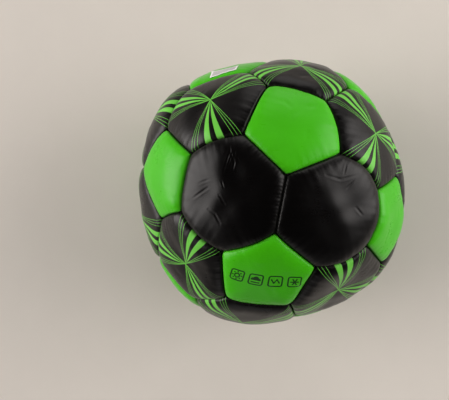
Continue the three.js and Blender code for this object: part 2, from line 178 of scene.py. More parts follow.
class FootballSizes(bpy.types.PropertyGroup):
    """Sizes of the ball and its pieces."""

    girth_radius: length_setting(
        "Girth radius", 112, "Radius over the crowns of the panels at the ball's widest")
    top_rise: length_setting(
        "Top rise", 106, "Height of the top above the ball's centre, less than the girth because it sags")
    base_flat_radius: length_setting(
        "Base flat radius", 50, "Radius of the flat that the floor presses in the base")
    seam_sink: length_setting(
        "Seam sink", 3, "How far the seams lie below the crowns of the panels")
    crown_run: length_setting(
        "Crown run", 4.5, "Distance from a seam over which a panel does most of its rising")
    roll_radius: length_setting(
        "Roll radius", 1.4, "Radius of the rolled edge where a panel turns in to its seam")
    panel_wall: length_setting("Panel wall", 2.4, "Thickness of the foam-backed sheet")
    flange_depth: length_setting(
        "Flange depth", 3.5, "Depth of the turned-in edge below its roll")
    half_seam: length_setting(
        "Half seam", 0.4, "Half the gap between two flanges, where the thread lies")
    stitch_depth: length_setting(
        "Stitch depth", 1.2, "Depth of the thread below the rolled edges")
    stitches_per_side: IntProperty(
        name="Stitches per side", description="Stitches along each side of a panel", default=16, min=4)
    bladder_wall: length_setting("Bladder wall", 1.2, "Thickness of the air bladder")
    bladder_slack: length_setting(
        "Bladder slack", 1.5, "How far the slack bladder hangs behind the panels")
    patch_radius: length_setting(
        "Valve patch radius", 12, "Radius of the rubber patch that holds the valve in the bladder")
    stem_radius: length_setting(
        "Valve stem radius", 4.2, "Radius of the valve's stem in the panel")
    core_radius: length_setting(
        "Valve core radius", 2.1, "Radius of the plug that the pump needle goes through")
    clearance: length_setting("Clearance", 0.3, "Space kept between neighbouring pieces")


class FootballRelief(bpy.types.PropertyGroup):
    """Fine shape of the soft sheet."""

    pucker_depth: length_setting(
        "Pucker depth", 0.22, "How far each stitch draws the rolled edge in")
    pucker_reach: length_setting(
        "Pucker reach", 2.6, "How far the puckers run into the panel")
    gather_depth: length_setting(
        "Gather depth", 0.28, "Height of the slack gathers that run in from the seams")
    gather_reach: length_setting(
        "Gather reach", 8, "How far the gathers run into the panel")
    corner_rounding: length_setting(
        "Corner rounding", 0.8, "How far a panel's corner is rounded back from its sharp tip")
    corner_round_reach: length_setting(
        "Corner rounding reach", 2.4, "How far along the sides the rounding of a corner runs")
    corner_dip: length_setting(
        "Corner dip", 0.9, "How far the sheet is drawn in where three seams meet")
    corner_dip_reach: length_setting(
        "Corner dip reach", 4.5, "How far the dip at a corner runs into the panel")
    wave_depth: length_setting(
        "Wave depth", 0.35, "Height of the slow waves in the slack sheet")
    seed: IntProperty(
        name="Seed", description="Picks the places of the waves, gathers and faint creases", default=7)


class FootballColours(bpy.types.PropertyGroup):
    """Colours of the sheet, the print and the small pieces."""

    green_sheet: colour_setting("Green sheet", (62, 170, 14), "Colour of the five-sided panels")
    black_sheet: colour_setting("Black sheet", (5, 4, 4), "Colour of the six-sided panels")
    print_green: colour_setting(
        "Print green", (100, 184, 66), "Colour of the rays printed on the black panels")
    print_dark: colour_setting(
        "Print dark", (16, 52, 12), "Colour of the symbols printed on a green panel")
    thread: colour_setting("Thread", (24, 23, 22), "Colour of the waxed thread")
    rubber: colour_setting("Rubber", (24, 23, 23), "Colour of the bladder and the valve's housing")
    plug: colour_setting("Plug", (42, 41, 40), "Colour of the plug that the pump needle goes through")
    paper: colour_setting("Paper", (226, 226, 224), "Colour of the sticker")
    field: colour_setting("Sticker field", (176, 176, 174), "Colour of the sticker's plain field")
    dust: colour_setting("Dust", (120, 116, 110), "Colour of the dust beside the seams")
    floor: colour_setting("Floor", (214, 206, 197), "Colour of the plain floor")


# Pattern of the panels: pentagons round the corners of an icosahedron, hexagons over its faces

class SewnPanel:
    """A panel of the pattern, its corners and sides held as unit directions from the ball's centre."""

    def __init__(self, node, centre, corners, along):
        self.node = node
        self.centre = centre
        self.corners = in_order(centre, corners)
        self.sides = unit(np.cross(self.corners, np.roll(self.corners, -1, axis=0)))
        self.along = unit(along - centre * (along @ centre))
        self.across = np.cross(centre, self.along)

    def edges(self):
        """Inward direction, start and end of each side."""
        return zip(self.sides, self.corners, np.roll(self.corners, -1, axis=0))

    def places(self, directions, radius):
        """Where directions fall on the panel's own plane, in millimetres."""
        ahead = directions @ self.centre
        flat = np.stack((directions @ self.along, directions @ self.across), axis=1)
        return flat * (radius / MM / ahead)[:, None]


def in_order(centre, corners):
    """Corners in order round a panel's centre, anticlockwise from outside."""
    across = unit(np.cross(centre, corners[0]))
    up = np.cross(across, centre)
    return np.array(sorted(corners, key=lambda corner: math.atan2(corner @ across, corner @ up)))


def from_the_top(middle):
    """Sorts the panels' middles by height in steps of a thousandth, then round the ball."""
    return -round(middle[2] * 1000), math.atan2(middle[1], middle[0])


def icosahedron_corners():
    golden = (1 + math.sqrt(5)) / 2
    corners = []
    for short in (-1, 1):
        for long in (-golden, golden):
            corners += [(0, short, long), (short, long, 0), (long, 0, short)]
    return [np.array(corner, float) for corner in sorted(corners, key=from_the_top)]


def are_neighbours(first, second):
    """Neighbouring corners of the icosahedron are 2 apart, the next nearest more than 3."""
    return 1 < np.linalg.norm(first - second) < 3


def pattern_turn():
    about_x, about_y, about_z = (math.radians(angle) for angle in PATTERN_TURN)
    turn = Matrix.Rotation(about_x, 3, "X") @ Matrix.Rotation(about_y, 3, "Y")
    return np.array(turn @ Matrix.Rotation(about_z, 3, "Z"))


def seam_corner(turn, start, end):
    """A seam corner lies a third of the way from one pentagon's centre to the next one's."""
    return turn @ unit(2 * start + end)


def pentagon_panels(turn, middles):
    panels = []
    for number, middle in enumerate(middles, start=1):
        around = [other for other in middles if are_neighbours(middle, other)]
        corners = [seam_corner(turn, middle, other) for other in around]
        panels.append(SewnPanel(
            f"pentagon_panel_{number:02d}", turn @ unit(middle), corners, np.array((1.0, 0, 0))))
    return panels


def hexagon_panels(turn, middles):
    faces = [around for around in combinations(middles, 3)
             if all(are_neighbours(*pair) for pair in combinations(around, 2))]
    faces.sort(key=lambda around: from_the_top(sum(around)))
    panels = []
    for number, around in enumerate(faces, start=1):
        corners = [seam_corner(turn, start, end) for start, end in permutations(around, 2)]
        panels.append(SewnPanel(
            f"hexagon_panel_{number:02d}", turn @ unit(sum(around)), corners,
            turn @ (around[0] + around[1])))
    return panels


# The soft skin: where a direction of the pattern ends up on the ball

class Skin:
    """The pulled, sagging surface that every layer of the ball follows."""

    def __init__(self, sizes, relief):
        self.sizes = sizes
        self.relief = relief
        lean = sizes.base_flat_radius / sizes.girth_radius
        self.centre_height = sizes.top_rise * math.sqrt(1 - lean * lean)
        self.flange_foot = sizes.roll_radius + sizes.flange_depth
        self.stitch_level = sizes.roll_radius + sizes.stitch_depth

    def pulled(self, directions):
        """Directions as the pulls drag them, and how far the pulls lift them."""
        dragged = directions.copy()
        lift = np.zeros(len(directions))
        for azimuth, elevation, spread, out, down, round_it in PULLS:
            middle = direction_at(azimuth, elevation)
            sideways = direction_at(azimuth + 90, 0)
            downward = np.cross(sideways, middle)
            drag = (downward * down + sideways * round_it) * MM
            weight = bell(angles_from(middle, directions) / math.radians(spread))
            dragged += weight[:, None] * drag / self.sizes.girth_radius
            lift += weight * out * MM
        return unit(dragged), lift

    def crown_radius(self, directions):
        level = np.hypot(directions[:, 0], directions[:, 1]) / self.sizes.girth_radius
        return 1 / np.hypot(level, directions[:, 2] / self.sizes.top_rise)

    def points(self, directions, crown, below, relief=0.0):
        """Points some way below the skin. The crown is 0 along a seam and 1 amid a panel."""
        turned, lift = self.pulled(directions)
        sunk = self.sizes.seam_sink * (1 - crown)
        radius = self.crown_radius(turned) + lift + relief - sunk - below
        drop = -turned[:, 2]
        facing_down = drop > LEAST_DROP
        floor = (self.centre_height - below) / np.where(facing_down, drop, 1)
        radius = np.where(facing_down, np.minimum(radius, floor), radius)
        return turned * radius[:, None] + np.array((0, 0, self.centre_height))

    def side_distances(self, directions, panel):
        inward = np.clip(directions @ panel.sides.T, -1, 1)
        return self.sizes.girth_radius * np.arcsin(inward)

    def seam_distance(self, directions, panel):
        """Distance from the nearest seams, blended so that the panel has no ridges."""
        distances = np.maximum(self.side_distances(directions, panel), LEAST_LENGTH)
        return (distances ** -SEAM_BLEND).sum(axis=1) ** (-1 / SEAM_BLEND)

    def crowns(self, directions, panel):
        middle = self.seam_distance(panel.centre[None], panel)
        distance = self.seam_distance(directions, panel)
        return self.rise(distance) / self.rise(middle)

    def rise(self, distance):
        return 1 - fading(distance, self.sizes.crown_run)

    def outline(self, panel, inset, steps):
        """Directions along a line round the panel at a distance inside its seams."""
        sine = math.sin(inset / self.sizes.girth_radius)
        before = np.roll(panel.sides, 1, axis=0)
        meeting = (before * panel.sides).sum(axis=1, keepdims=True)
        inward = (before + panel.sides) * sine / (1 + meeting)
        outward = unit(np.cross(before, panel.sides))
        corners = inward + outward * np.sqrt(1 - (inward ** 2).sum(axis=1, keepdims=True))
        shares = np.arange(steps)[:, None] / steps
        line = []
        for side, start, end in zip(panel.sides, corners, np.roll(corners, -1, axis=0)):
            between = start + (end - start) * shares
            between -= side * (between @ side)[:, None]
            line.append(unit(between) * math.sqrt(1 - sine * sine) + side * sine)
        return np.concatenate(line)

    def rounded_outline(self, panel, inset, steps):
        """The same line with its corners rounded off, because the sheet can't turn in sharply."""
        line = self.outline(panel, inset, steps)
        moves = np.zeros(line.shape)
        for corner in line[::steps]:
            away = self.sizes.girth_radius * angles_from(corner, line)
            weight = bell(away / self.relief.corner_round_reach)
            moves += weight[:, None] * unit(panel.centre - corner)
        return unit(line + moves * self.relief.corner_rounding / self.sizes.girth_radius)


def drawn_in(panel, ring, share):
    return unit(panel.centre + (ring - panel.centre) * share)


# Fine relief of the sheet

# Folds of the slack sheet, in millimetres: lengths of the gathers along a seam, shortest and
# longest of the slow waves, and how many waves lie over each other
GATHER_LENGTHS = (6, 9, 14)
WAVE_LENGTHS = (16, 36)
WAVE_COUNT = 10

# Faint creases on the panels that have none of their own: least number and the number that is
# never reached, reach from the panel's middle, half length, bend as a share of it, depth and
# width. Lengths are in millimetres.
FAINT_COUNTS = (2, 5)
FAINT_REACH = 17
FAINT_HALF_LENGTHS = (3, 7)
FAINT_BEND = 0.3
FAINT_DEPTHS = (0.12, 0.28)
FAINT_WIDTHS = (1.5, 2.3)

# Section of a crease: height of the ridges beside it as a share of its depth, their distance
# from it in widths of the crease, and where it fades out in shares of its half length
RIDGE_SHARE = 0.5
RIDGE_PLACE = 2
CREASE_FADE = 1.4


def relief_over(skin, panel, directions):
    """Height of puckers, gathers, dips, slow waves and creases over a panel's plain crown."""
    relief = skin.relief
    radius = skin.sizes.girth_radius
    random = np.random.default_rng([relief.seed, *panel.node.encode()])
    distances = skin.side_distances(directions, panel)
    height = np.zeros(len(directions))
    for (side, start, end), distance in zip(panel.edges(), distances.T):
        length = radius * math.acos(start @ end)
        along = np.arctan2(directions @ np.cross(side, start), directions @ start) * radius
        near = np.clip(distance, 0, None)
        pitch = length / skin.sizes.stitches_per_side
        pucker = np.cos(2 * math.pi * along / pitch) - 1
        height += relief.pucker_depth / 2 * pucker * fading(near, relief.pucker_reach)
        reach = fading(near, relief.gather_reach) * (1 - fading(near, relief.pucker_reach))
        height += relief.gather_depth * reach * gathers(random, along)
    for corner in panel.corners:
        away = radius * angles_from(corner, directions)
        height -= relief.corner_dip * bell(away / relief.corner_dip_reach)
    slack = 1 - fading(skin.seam_distance(directions, panel), relief.gather_reach)
    height += relief.wave_depth * slack * waves(random, directions * radius)
    places = panel.places(directions, radius)
    for depth, width, points in creases_of(panel, random):
        height += slack * crease(places, np.array(points, float), depth, width)
    return height


def gathers(random, along):
    """Uneven small folds along a seam, between -1 and 1."""
    total = np.zeros(len(along))
    for length in GATHER_LENGTHS:
        phase = random.uniform(0, 2 * math.pi)
        total += np.sin(2 * math.pi * along / (length * MM) + phase)
    return total / len(GATHER_LENGTHS)


def waves(random, points):
    """Slow uneven waves over the sheet, between -1 and 1 for the most part."""
    total = np.zeros(len(points))
    for _ in range(WAVE_COUNT):
        length = random.uniform(*WAVE_LENGTHS) * MM
        heading = unit(random.normal(size=3))
        total += np.sin(points @ heading * (2 * math.pi / length) + random.uniform(0, 2 * math.pi))
    return total / math.sqrt(WAVE_COUNT)


def creases_of(panel, random):
    """The panel's own creases, or a few faint ones at places that the seed picks."""
    if panel.node in CREASES:
        return CREASES[panel.node]
    faint = []
    for _ in range(random.integers(*FAINT_COUNTS)):
        middle = random.uniform(-FAINT_REACH, FAINT_REACH, size=2)
        heading = random.uniform(0, math.pi)
        step = np.array((math.cos(heading), math.sin(heading))) * random.uniform(*FAINT_HALF_LENGTHS)
        bend = np.array((-step[1], step[0])) * random.uniform(-FAINT_BEND, FAINT_BEND)
        points = (middle - step, middle + bend, middle + step)
        faint.append((random.uniform(*FAINT_DEPTHS), random.uniform(*FAINT_WIDTHS), points))
    return faint


def crease(places, points, depth, width):
    """A pressed line with a low ridge on each side, fading toward its ends."""
    nearest = np.full(len(places), np.inf)
    for start, end in zip(points[:-1], points[1:]):
        run = end - start
        share = np.clip((places - start) @ run / (run @ run), 0, 1)
        away = np.linalg.norm(places - start - share[:, None] * run, axis=1)
        nearest = np.minimum(nearest, away)
    middle = points.mean(axis=0)
    reach = np.linalg.norm(points - middle, axis=1).max()
    from_middle = np.linalg.norm(places - middle, axis=1) / reach
    fade = np.clip(CREASE_FADE - from_middle, 0, 1)
    valley = bell(nearest / width)
    ridge = bell((nearest - RIDGE_PLACE * width) / width)
    return depth * MM * fade * (RIDGE_SHARE * ridge - valley)


# Closed surfaces made of rings

# Distance from a seam, in millimetres, that a point off the panels is given
FAR_FROM_SEAM = 10.0


class Surface:
    """Points and faces of a closed surface that is built up ring by ring."""

    def __init__(self):
        self.points = []
        self.places = []
        self.from_seam = []
        self.faces = []
        self.count = 0

    def ring(self, points, places=None, from_seam=None):
        """Adds a ring of points, with their places on a panel, and returns their numbers."""
        numbers = np.arange(self.count, self.count + len(points))
        self.points.append(points)
        self.places.append(np.zeros((len(points), 2)) if places is None else places)
        self.from_seam.append(
            np.full(len(points), FAR_FROM_SEAM) if from_seam is None else from_seam)
        self.count += len(points)
        return numbers

    def band(self, first, second):
        """Joins two rings, the first being the inner one as seen from outside. One may have
        twice as many points as the other."""
        after_first = np.roll(first, -1)
        after_second = np.roll(second, -1)
        if len(first) == len(second):
            self.add(first, second, after_second, after_first)
        elif len(second) == 2 * len(first):
            even, odd, after = second[0::2], second[1::2], after_second[1::2]
            self.add(first, even, odd)
            self.add(first, odd, after_first)
            self.add(after_first, odd, after)
        else:
            even, odd, after = first[0::2], first[1::2], after_first[1::2]
            self.add(even, second, odd)
            self.add(odd, second, after_second)
            self.add(odd, after_second, after)

    def bands(self, rings):
        """Joins each ring to the next one, from the inside out."""
        for first, second in zip(rings, rings[1:]):
            self.band(first, second)

    def fan(self, tip, ring, faces_out):
        tips = np.full(len(ring), tip[0])
        after = np.roll(ring, -1)
        if faces_out:
            self.add(tips, ring, after)
        else:
            self.add(tips, after, ring)

    def add(self, *corners):
        self.faces += np.stack(corners, axis=1).tolist()

    def weld(self):
        """Makes one point of those that lie together."""
        points = np.concatenate(self.points)
        places = np.concatenate(self.places)
        keys = np.round(points / LEAST_LENGTH).astype(np.int64)
        _, firsts, numbers = np.unique(keys, axis=0, return_index=True, return_inverse=True)
        numbers = numbers.ravel()
        self.points = [points[firsts]]
        self.places = [places[firsts]]
        self.from_seam = [np.concatenate(self.from_seam)[firsts]]
        self.faces = [[int(numbers[corner]) for corner in face] for face in self.faces]


def add_mesh(name, surface, material):
    """Makes a smooth mesh object of a surface, with its places on the panel as a UV map."""
    mesh = bpy.data.meshes.new(name)
    mesh.from_pydata(np.concatenate(surface.points).tolist(), [], surface.faces)
    layer = mesh.uv_layers.new(name="Places")
    corners = np.empty(len(mesh.loops), np.int32)
    mesh.loops.foreach_get("vertex_index", corners)
    layer.uv.foreach_set("vector", np.concatenate(surface.places)[corners].astype(np.float32).ravel())
    distances = mesh.attributes.new("seam_distance", "FLOAT", "POINT")
    distances.data.foreach_set("value", np.concatenate(surface.from_seam).astype(np.float32))
    mesh.shade_smooth()
    mesh.materials.append(material)
    piece = bpy.data.objects.new(name, mesh)
    bpy.context.scene.collection.objects.link(piece)
    return piece


def add_piece(name, surface, material, node):
    """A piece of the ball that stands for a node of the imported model."""
    piece = add_mesh(name, surface, material)
    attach(piece, "root")
    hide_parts(node)


# Panels

# Fineness of the panels: stations along a side, how much finer the creased panels are, spacing of
# the rings in millimetres and its growth away from a seam, and steps of the rolled edge
EDGE_STEPS = 64
CREASED_FINENESS = 2
FINEST_STEP = 0.5
WIDEST_STEP = 1.0
STEP_GROWTH = 1.12
ROLL_STEPS = 7

# Shares of the way out from the middle: rings at the back of a panel, and the least share of any
# ring in the panel with the valve hole
INNER_SHARES = (0.95, 0.8, 0.5)
LEAST_PIERCED_SHARE = 0.24

# Rings that are drawn in to less than this share keep every second point, and at most one in
# eight is kept near the middle
THINNED_SHARE = 0.6
MOST_THINNED = 8

# Edge of the valve hole from the back of the sheet to its front: how far outside the hole
# and how far below the skin each line of it lies, in millimetres
HOLE_EDGE = ((0.7, 2.4), (0.1, 2.3), (0.0, 2.0), (0.0, 0.7), (0.12, 0.25), (0.5, 0.03), (1.3, 0.0))


def shares_inward(skin, panel, fineness):
    """Shares of the way from a panel's middle to its shoulder, closer together near the seam."""
    reach = (skin.seam_distance(panel.centre[None], panel)[0] - skin.sizes.roll_radius) / MM
    shares = []
    step = FINEST_STEP / fineness
    distance = step
    while distance < reach - WIDEST_STEP:
        shares.append(1 - distance / reach)
        step = min(step * STEP_GROWTH, WIDEST_STEP / fineness)
        distance += step
    return shares


def thinned(ring, share):
    """Every second, fourth or eighth direction of a ring, so that the mesh stays even."""
    keep = 1
    while share * keep < THINNED_SHARE and keep < MOST_THINNED:
        keep *= 2
    return ring[::keep]


def round_the_middle(skin, panel, ring, radius):
    """Directions on a circle round the panel's middle, each toward one of the ring's."""
    flat = unit(ring - (ring @ panel.centre)[:, None] * panel.centre)
    angle = radius / skin.sizes.girth_radius
    return panel.centre * math.cos(angle) + flat * math.sin(angle)


def panel_surface(skin, panel, pierced=False):
    """The sheet bulges, rolls over at its edges and turns in to a flange sewn to the next."""
    sizes = skin.sizes
    surface = Surface()
    fineness = CREASED_FINENESS if panel.node in CREASES else 1
    steps = EDGE_STEPS * fineness

    def laid(ring, points):
        distance = skin.seam_distance(ring, panel) / MM
        return surface.ring(points, panel.places(ring, sizes.girth_radius), distance)

    def skin_ring(ring, below, relief_share=1.0):
        relief = relief_over(skin, panel, ring) * relief_share
        return laid(ring, skin.points(ring, skin.crowns(ring, panel), below, relief))

    def seam_ring(ring, below):
        return laid(ring, skin.points(ring, np.zeros(len(ring)), below))

    shoulder = skin.rounded_outline(panel, sizes.half_seam + sizes.roll_radius, steps)
    edge = skin.rounded_outline(panel, sizes.half_seam, steps)
    inside = skin.rounded_outline(panel, sizes.half_seam + sizes.panel_wall, steps)
    rings = []
    for share in reversed(shares_inward(skin, panel, fineness)):
        if not pierced or share > LEAST_PIERCED_SHARE:
            rings.append(skin_ring(thinned(drawn_in(panel, shoulder, share), share), 0))
    for step in range(ROLL_STEPS, -1, -1):
        angle = step / ROLL_STEPS * math.pi / 2
        inset = sizes.half_seam + sizes.roll_radius * (1 - math.cos(angle))
        below = sizes.roll_radius * (1 - math.sin(angle))
        rings.append(skin_ring(skin.rounded_outline(panel, inset, steps), below, math.sin(angle)))
    rings.append(seam_ring(edge, skin.flange_foot))
    rings.append(seam_ring(inside, skin.flange_foot))
    rings.append(skin_ring(inside, sizes.panel_wall, 0))
    for step, share in enumerate(INNER_SHARES, start=1):
        rings.append(skin_ring(drawn_in(panel, inside, share)[::2 ** step], sizes.panel_wall, 0))
    if pierced:
        around = thinned(drawn_in(panel, inside, LEAST_PIERCED_SHARE), LEAST_PIERCED_SHARE)
        hole_radius = sizes.stem_radius + sizes.clearance
        for wider, below in HOLE_EDGE:
            circle = round_the_middle(skin, panel, around, hole_radius + wider * MM)
            rings.append(skin_ring(circle, below * MM))
        surface.band(rings[-1], rings[0])
    else:
        middle = panel.centre[None]
        surface.fan(skin_ring(middle, 0), rings[0], True)
        surface.fan(skin_ring(middle, sizes.panel_wall, 0), rings[-1], False)
    surface.bands(rings)
    return surface


# Thread

# Fineness of the thread, and its shape in millimetres. Its lobes are a share of its radius, and
# the slant of a loop is a share of the loop's width.
THREAD_SIDES = 9
STATIONS_PER_STITCH = 4
LOOP_SIDES = 6
KNOT_SIDES = 8
STRAND_RADIUS = 0.3
STRAND_YARNS = 3
STRAND_LOBES = 0.16
TWIST_LENGTH = 4.8
LOOP_RADIUS = 0.34
LOOP_RISE = 0.85
LOOP_SLANT = 0.35
KNOT_RADIUS = 0.55

# Stretch of a seam that its strand fills, and the share of the gap that a loop crosses
STRAND_STRETCH = (0.02, 0.98)
LOOP_REACH = 0.94

# Places along a loop and its thickness there, and heights of a knot's rings, as shares
LOOP_PLACES = (-1, -0.8, 0, 0.8, 1)
LOOP_ROUNDING = (0.45, 0.9, 1, 0.9, 0.45)
KNOT_HEIGHTS = (-0.9, -0.6, 0, 0.6, 0.9)


def each_once(items, key):
    """Items whose key has not come up before."""
    seen = set()
    for item in items:
        if key(item) not in seen:
            seen.add(key(item))
            yield item


def named(corner):
    """A corner's place, rounded to four digits so that it is the same in every panel."""
    return tuple(corner.round(4))


def each_seam(panels):
    """Both ends and the side direction of every seam, once."""
    edges = (edge for panel in panels for edge in panel.edges())
    return each_once(edges, lambda edge: frozenset((named(edge[1]), named(edge[2]))))


def tube(surface, centres, across, up, radii):
    """Closed tube along a line. The radii hold one row of lengths for each centre."""
    across = np.broadcast_to(across, centres.shape)
    up = np.broadcast_to(up, centres.shape)
    rings = []
    for centre, right, above, row in zip(centres, across, up, radii):
        rings.append(surface.ring(centre + spokes(len(row), right, above) * row[:, None]))
    surface.bands(rings)
    surface.fan(surface.ring(centres[:1]), rings[0], True)
    surface.fan(surface.ring(centres[-1:]), rings[-1], False)


def along_seam(start, end, shares):
    return unit(start + (end - start) * shares[:, None])


def strand(surface, skin, side, start, end):
    """Twisted thread along a seam, down between its two flanges."""
    steps = skin.sizes.stitches_per_side * STATIONS_PER_STITCH
    line = along_seam(start, end, np.linspace(*STRAND_STRETCH, steps))
    centres = skin.points(line, np.zeros(steps), skin.stitch_level + STRAND_RADIUS * MM)
    up = unit(line)
    across = np.cross(up, np.cross(side, up))
    lengths = np.linalg.norm(np.diff(centres, axis=0), axis=1)
    travelled = np.concatenate(((0,), np.cumsum(lengths))) / MM
    angles = np.arange(THREAD_SIDES) * 2 * math.pi / THREAD_SIDES
    twist = 2 * math.pi * travelled[:, None] / TWIST_LENGTH
    radii = STRAND_RADIUS * MM * (1 + STRAND_LOBES * np.cos(STRAND_YARNS * angles + twist))
    tube(surface, centres, unit(across), up, radii)


def loops(surface, skin, side, start, end):
    """The stitches that cross a seam from flange to flange, a little above the strand."""
    count = skin.sizes.stitches_per_side
    line = along_seam(start, end, (np.arange(count) + 0.5) / count)
    middles = skin.points(line, np.zeros(count), skin.stitch_level - LOOP_RISE * MM)
    heading = side + unit(end - start) * LOOP_SLANT
    steps = np.array(LOOP_PLACES)[:, None] * heading * (skin.sizes.half_seam * LOOP_REACH)
    radii = np.outer(LOOP_ROUNDING, np.full(LOOP_SIDES, LOOP_RADIUS * MM))
    for middle, up in zip(middles, line):
        tube(surface, middle + steps, unit(np.cross(heading, up)), up, radii)


def knots(surface, skin, panels):
    """Round knots where three seams meet."""
    heights = np.array(KNOT_HEIGHTS) * KNOT_RADIUS * MM
    radii = np.outer(np.sqrt((KNOT_RADIUS * MM) ** 2 - heights ** 2), np.ones(KNOT_SIDES))
    places = ((corner, panel) for panel in panels for corner in panel.corners)
    for corner, panel in each_once(places, lambda place: named(place[0])):
        depth = skin.stitch_level + STRAND_RADIUS * MM
        middle = skin.points(corner[None], np.zeros(1), depth)[0]
        right = unit(np.cross(corner, panel.centre))
        forward = np.cross(corner, right)
        tube(surface, middle + heights[:, None] * corner, right, forward, radii)


def stitching_surface(skin, pentagons, hexagons):
    """All the thread of the ball. Every seam corner belongs to one of the pentagons."""
    surface = Surface()
    for seam in each_seam(pentagons + hexagons):
        strand(surface, skin, *seam)
        loops(surface, skin, *seam)
    knots(surface, skin, pentagons)
    return surface


# Bladder

# Fineness of the bladder: stations along a side, shares of the way out from a panel's middle, and
# the least share of any ring round the valve's patch
BLADDER_STEPS = 8
BLADDER_SHARES = (0.9, 0.78, 0.64, 0.48, 0.3, 0.14)
LEAST_PATCH_SHARE = 0.45

# Distance in millimetres over which the bladder rises off the flanges
FOOT_RUN = 4


def bladder_layer(surface, skin, panel, inward, faces_out):
    """Rings of one face of the bladder behind a panel, from the middle out to the seams."""
    sizes = skin.sizes
    pierced = panel.node == VALVE_PANEL
    foot = sizes.half_seam + sizes.panel_wall + sizes.clearance
    slack = sizes.panel_wall + sizes.bladder_slack + inward

    def ring(directions):
        distance = skin.side_distances(directions, panel).min(axis=1)
        crowns = skin.crowns(directions, panel)
        sunk = sizes.seam_sink * (1 - crowns)
        deepest = sizes.seam_sink + skin.flange_foot + inward
        spare = np.maximum(deepest - sunk - slack, 0)
        fall = spare * fading(np.maximum(distance - foot, 0), FOOT_RUN * MM)
        return surface.ring(skin.points(directions, crowns, slack, -fall))

    along = skin.rounded_outline(panel, foot, BLADDER_STEPS)
    rings = []
    if pierced:
        radius = sizes.patch_radius + sizes.clearance
        rings.append(ring(round_the_middle(skin, panel, along, radius)))
    for share in reversed(BLADDER_SHARES):
        if not pierced or share > LEAST_PATCH_SHARE:
            rings.append(ring(drawn_in(panel, along, share)))
    rings.append(ring(along))
    line = skin.outline(panel, 0, BLADDER_STEPS)
    on_seams = skin.points(line, np.zeros(len(line)), skin.flange_foot + inward)
    rings.append(surface.ring(on_seams))
    if not pierced:
        surface.fan(ring(panel.centre[None]), rings[0], faces_out)
    return rings


def bladder_surface(skin, panels):
    """A slack double skin behind the panels, open round the valve."""
    surface = Surface()
    front = skin.sizes.clearance
    back = skin.sizes.clearance + skin.sizes.bladder_wall
    for panel in panels:
        outer = bladder_layer(surface, skin, panel, front, faces_out=True)
        inner = bladder_layer(surface, skin, panel, back, faces_out=False)
        surface.bands(outer)
        for first, second in zip(inner, inner[1:]):
            surface.band(second, first)
        if panel.node == VALVE_PANEL:
            surface.band(inner[0], outer[0])
    surface.weld()
    return surface


# Valve

# Fineness of the valve, and the sizes of its parts in millimetres
VALVE_STEPS = 48
ROUNDING_STEPS = 4
STEM_RECESS = 0.4
PATCH_THICKNESS = 1.5
SLEEVE_RADIUS = 5.5
SLEEVE_LENGTH = 12
HOUSING_ROUNDING = 0.35
CORE_ROUNDING = 0.2
NEEDLE_HOLE_RADIUS = 0.9
FUNNEL_RADIUS = 1.5
FUNNEL_DEPTH = 1.2

# Where the back of the panel is measured for the patch that lies behind it
BACK_STEPS_PER_SIDE = 3
BACK_SHARE = 0.55

# Part of a side that the rounding of one of its corners may take up
ROUNDING_SHARE = 1 / 2.2


class ValveSeat:
    """Where the valve sits in its panel. Heights run out from the ball's centre, in millimetres."""

    def __init__(self, skin, panel):
        sizes = skin.sizes
        self.middle = np.array((0, 0, skin.centre_height))
        front = skin.points(panel.centre[None], np.ones(1), 0)[0] - self.middle
        back = skin.points(panel.centre[None], np.ones(1), sizes.panel_wall)[0] - self.middle
        self.axis = unit(front)
        around = skin.outline(panel, sizes.half_seam + sizes.panel_wall, BACK_STEPS_PER_SIDE)
        around = drawn_in(panel, around, BACK_SHARE)
        behind = skin.points(around, skin.crowns(around, panel), sizes.panel_wall) - self.middle
        height = behind @ self.axis
        aside = np.linalg.norm(behind - height[:, None] * self.axis, axis=1)
        slope = ((np.linalg.norm(back) - height) / aside).max()
        foot = (np.linalg.norm(back) - sizes.clearance) / MM
        self.top = np.linalg.norm(front) / MM - STEM_RECESS
        self.stem_foot = foot - sizes.stem_radius / MM * slope
        self.patch_rim = foot - sizes.patch_radius / MM * slope
        self.patch_under = self.patch_rim - PATCH_THICKNESS
        self.sleeve_end = self.patch_under - SLEEVE_LENGTH


def rounded(profile, radius):
    """A closed profile with every corner rounded."""
    corners = np.array(profile, float)
    soft = []
    befores = np.roll(corners, 1, axis=0)
    afters = np.roll(corners, -1, axis=0)
    for before, corner, after in zip(befores, corners, afters):
        shorter = min(np.linalg.norm(before - corner), np.linalg.norm(after - corner))
        cut = min(radius, shorter * ROUNDING_SHARE)
        start = corner + unit(before - corner) * cut
        end = corner + unit(after - corner) * cut
        for share in np.linspace(0, 1, ROUNDING_STEPS):
            one = start + (corner - start) * share
            two = corner + (end - corner) * share
            soft.append(one + (two - one) * share)
    return soft


def turned(profile, seat):
    """Turns a closed profile of radius and height, in millimetres, round the valve's axis."""
    surface = Surface()
    right = unit(np.cross(seat.axis, (0, 0, 1)))
    arms = spokes(VALVE_STEPS, right, np.cross(seat.axis, right))
    rings = []
    for radius, height in profile:
        rings.append(surface.ring(seat.middle + (seat.axis * height + arms * radius) * MM))
    for first, second in zip(rings, rings[1:] + rings[:1]):
        surface.band(second, first)
    return surface


def housing_surface(skin, seat):
    """Stem, dished patch and sleeve of the valve, in one rubber piece."""
    bore = (skin.sizes.core_radius + skin.sizes.clearance) / MM
    stem = skin.sizes.stem_radius / MM
    patch = skin.sizes.patch_radius / MM
    profile = [
        (bore, seat.sleeve_end),
        (SLEEVE_RADIUS, seat.sleeve_end),
        (SLEEVE_RADIUS, seat.patch_under),
        (patch, seat.patch_under),
        (patch, seat.patch_rim),
        (stem, seat.stem_foot),
        (stem, seat.top),
        (bore, seat.top),
    ]
    return turned(rounded(profile, HOUSING_ROUNDING), seat)


